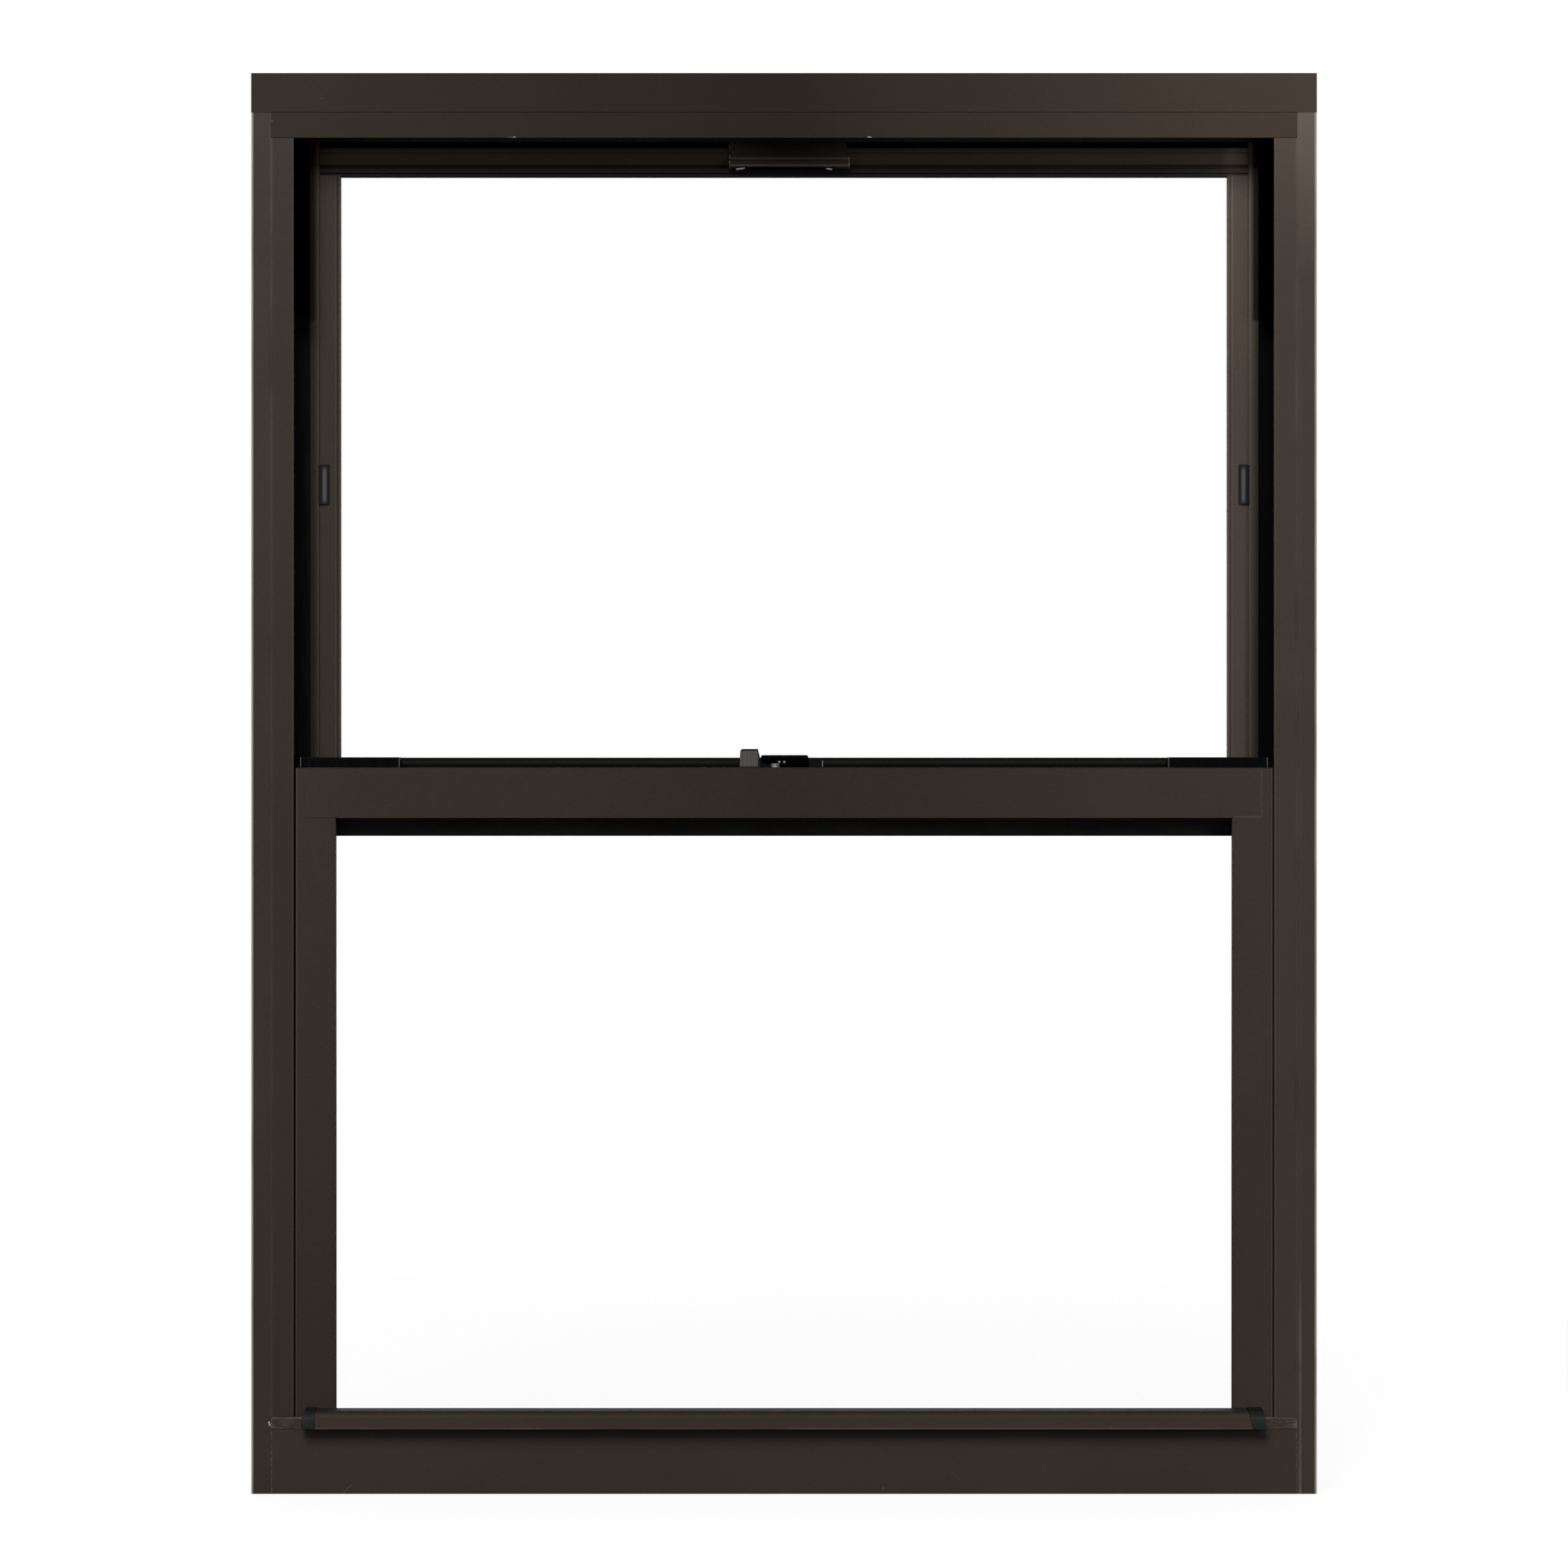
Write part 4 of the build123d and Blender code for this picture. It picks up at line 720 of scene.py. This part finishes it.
LEVER_DARK = (0.022, 0.020, 0.019, 1.0)
LEVER_LIGHT = (0.032, 0.030, 0.029, 1.0)
PIVOT_SPOT = (-0.0080, -0.0454, 0.6244)
dress(
    bronze_paint("lock_lever_paint", LEVER_DARK, LEVER_LIGHT, NO_PAINTED_LIGHT, 0.4, 0.06, ribbed_thumb),
    "lock_lever",
)


def rivet_heads(name, middles, radius, height):
    """Low domes that face the room: rings of points on a sphere's cap, from the rim to the crown,
    where the ring's radius is the cosine and the height the sine of the ring's angle."""
    turn, rise = np.meshgrid(np.linspace(0.0, 2 * np.pi, 25)[:-1], np.linspace(0.0, np.pi / 2, 7)[:-1])
    ring = np.stack((
        radius * np.cos(rise) * np.cos(turn), -height * np.sin(rise), radius * np.cos(rise) * np.sin(turn),
    ), axis=-1).reshape(-1, 3)
    dome = np.vstack((ring, (0.0, -height, 0.0), (0.0, 0.0, 0.0)))
    rows, sides = turn.shape
    at = np.arange(rows * sides).reshape(rows, sides)
    beside = np.roll(at, -1, axis=1)
    walls = np.stack((at[:-1], at[1:], beside[1:], beside[:-1]), axis=-1).reshape(-1, 4)
    crown = np.stack((at[-1], np.full(sides, len(ring)), beside[-1]), axis=-1)
    back = np.stack((at[0], beside[0], np.full(sides, len(ring) + 1)), axis=-1)
    points = (dome + middles[:, None, :]).reshape(-1, 3)
    step = len(dome) * np.arange(len(middles))[:, None, None]
    fours = (walls + step).reshape(-1, 4)
    threes = (np.vstack((crown, back)) + step).reshape(-1, 3)
    mesh = bpy.data.meshes.new(name)
    mesh.from_pydata(points.tolist(), [], fours.tolist() + threes.tolist())
    mesh.shade_smooth()
    piece = bpy.data.objects.new(name, mesh)
    bpy.context.collection.objects.link(piece)
    return piece


LOCK_FRONT = -0.0365
rivets = rivet_heads(
    "lock_rivets", np.array(((-0.0041, LOCK_FRONT, 0.6279), (0.0003, LOCK_FRONT, 0.6279))), 0.0013, 0.0009,
)
RUBBED_DARK = (0.09, 0.088, 0.086, 1.0)
RUBBED_LIGHT = (0.14, 0.137, 0.134, 1.0)
rivets.data.materials.append(
    bronze_paint("rivet_paint", RUBBED_DARK, RUBBED_LIGHT, NO_PAINTED_LIGHT, 0.3, 0.5)
)
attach(rivets, "root")


# The burr: a curl of bare metal that the saw left where the sill's left end meets the jamb.
# It stands a hair proud of the painted face.
def metal_curl(name, middle, length, width, lift):
    """A strip whose line bends out from the face as a sine along its length, and whose width
    narrows to a point at both ends; each point is a function of the way along and across."""
    along, across = np.meshgrid(np.linspace(0.0, 1.0, 21), np.linspace(-0.5, 0.5, 5))
    taper = np.sin(np.pi * (0.08 + 0.84 * along))
    x = middle[0] + width * taper * across + 0.25 * width * np.sin(2 * np.pi * along)
    y = middle[1] - lift * np.sin(np.pi * along) * (0.6 + 0.8 * across ** 2)
    z = middle[2] + length * (along - 0.5)
    points = np.stack((x, y, z), axis=-1).reshape(-1, 3)
    rows, columns = along.shape
    at = np.arange(rows * columns).reshape(rows, columns)
    faces = np.stack((at[:-1, :-1], at[:-1, 1:], at[1:, 1:], at[1:, :-1]), axis=-1).reshape(-1, 4)
    mesh = bpy.data.meshes.new(name)
    mesh.from_pydata(points.tolist(), [], faces.tolist())
    mesh.shade_smooth()
    piece = bpy.data.objects.new(name, mesh)
    bpy.context.collection.objects.link(piece)
    skin = piece.modifiers.new("thickness", "SOLIDIFY")
    skin.thickness = 0.00015
    return piece


def bare_burr(name):
    """Bright torn aluminium with fine marks."""
    finish, tree, shader, place = start_finish(name)
    torn = noise(tree, place, 2500.0, 3.0)
    colour = blend(tree, torn, (0.08, 0.075, 0.07, 1.0), (0.45, 0.43, 0.42, 1.0))
    tree.links.new(colour, shader.inputs["Base Color"])
    tree.links.new(ramp(tree, torn, 0.3, 0.7, 0.35, 0.6), shader.inputs["Roughness"])
    return finish


burr = metal_curl("sill_burr", (-0.4414, -0.0509, 0.0602), 0.0046, 0.0019, 0.0006)
burr.data.materials.append(bare_burr("torn_aluminium"))
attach(burr, "root")


# The stage: a pale floor under the sill, a large soft box high in front, a small one on each side,
# and a white surround that is dimmer on the room's side.
def plain_sight(tree):
    """1 for what is seen straight or through glass, 0 for light on its way to a surface."""
    ray = node(tree, "ShaderNodeLightPath")
    bounces = sum_of(tree, ray.outputs["Diffuse Depth"], ray.outputs["Glossy Depth"])
    direct = node(tree, "ShaderNodeMath", {0: bounces, 1: 0.5}, operation="LESS_THAN")
    through = product(tree, ray.outputs["Is Transmission Ray"], direct.outputs[0])
    return node(
        tree, "ShaderNodeMath", {0: ray.outputs["Is Camera Ray"], 1: through}, operation="MAXIMUM",
    ).outputs[0]


def stage_floor():
    """A flat square just under the sill that shows white, dimmed by shadow close to the window."""
    side = 6.0
    mesh = bpy.data.meshes.new("floor")
    mesh.from_pydata(
        [(-side, -side, 0.0), (side, -side, 0.0), (side, side, 0.0), (-side, side, 0.0)], [], [(0, 1, 2, 3)],
    )
    floor = bpy.data.objects.new("floor", mesh)
    bpy.context.collection.objects.link(floor)
    finish = bpy.data.materials.new("pale_floor")
    finish.use_nodes = True
    tree = finish.node_tree
    tree.nodes.clear()
    seen = plain_sight(tree)
    bounce = blend(tree, seen, (0.2, 0.2, 0.2, 1.0), (0.95, 0.95, 0.95, 1.0))
    matt = node(tree, "ShaderNodeBsdfDiffuse", {"Color": bounce})
    white = node(tree, "ShaderNodeEmission", {"Color": (1.0, 1.0, 1.0, 1.0), "Strength": 1.0})
    place = node(tree, "ShaderNodeTexCoord").outputs["Object"]
    away = node(tree, "ShaderNodeVectorMath", {0: place}, operation="LENGTH").outputs["Value"]
    share = product(tree, seen, ramp(tree, away, 0.4, 1.6, 0.88, 1.0))
    both = node(tree, "ShaderNodeMixShader", {0: share, 1: matt.outputs[0], 2: white.outputs[0]})
    node(tree, "ShaderNodeOutputMaterial", {"Surface": both.outputs[0]})
    mesh.materials.append(finish)


stage_floor()


def soft_box(name, place, target, size, watts):
    """A square area lamp at place, turned to face target."""
    lamp = bpy.data.lights.new(name, "AREA")
    lamp.size = size
    lamp.energy = watts
    holder = bpy.data.objects.new(name, lamp)
    bpy.context.collection.objects.link(holder)
    away = np.subtract(place, target)
    level = math.hypot(away[0], away[1])
    holder.location = place
    holder.rotation_euler = (math.atan2(level, away[2]), 0.0, math.atan2(away[0], -away[1]))


WINDOW_MIDDLE = (0.0, 0.0, 0.62)
soft_box("high_box", (-1.2, -7.0, 6.0), WINDOW_MIDDLE, 4.0, 840.0)
soft_box("left_box", (-1.9, -3.4, 1.4), WINDOW_MIDDLE, 1.0, 8.0)
soft_box("right_box", (1.7, -3.4, 1.4), WINDOW_MIDDLE, 1.0, 18.0)

world = bpy.data.worlds.new("studio")
world.use_nodes = True
bpy.context.scene.world = world
sky = world.node_tree
sky.nodes.clear()
toward = node(sky, "ShaderNodeTexCoord").outputs["Generated"]
depth = node(sky, "ShaderNodeSeparateXYZ", {0: toward}).outputs["Y"]
side_light = ramp(sky, depth, -0.1, 0.2, 0.1, 1.0)
strength = node(sky, "ShaderNodeMath", {0: side_light, 1: plain_sight(sky)}, operation="MAXIMUM").outputs[0]
surround = node(sky, "ShaderNodeBackground", {"Color": (1.0, 1.0, 1.0, 1.0), "Strength": strength})
node(sky, "ShaderNodeOutputWorld", {"Surface": surround.outputs[0]})


# The camera stands level and straight in front of the window, as far off as the parallax between
# the two sashes gives, with a lens that takes in 1345 mm at the frame's room face.
FRAME_FRONT = -0.0508
CAMERA_AWAY = 3.66
CAMERA_HEIGHT = 0.6091
VIEW_WIDTH = 1.3452
SENSOR = 36.0
lens = bpy.data.cameras.new("camera")
lens.sensor_width = SENSOR
lens.lens = SENSOR * CAMERA_AWAY / VIEW_WIDTH
camera = bpy.data.objects.new("camera", lens)
camera.location = (0.0, FRAME_FRONT - CAMERA_AWAY, CAMERA_HEIGHT)
camera.rotation_euler = (math.pi / 2, 0.0, 0.0)
bpy.context.collection.objects.link(camera)
bpy.context.scene.camera = camera
bpy.context.scene.view_settings.view_transform = "Standard"
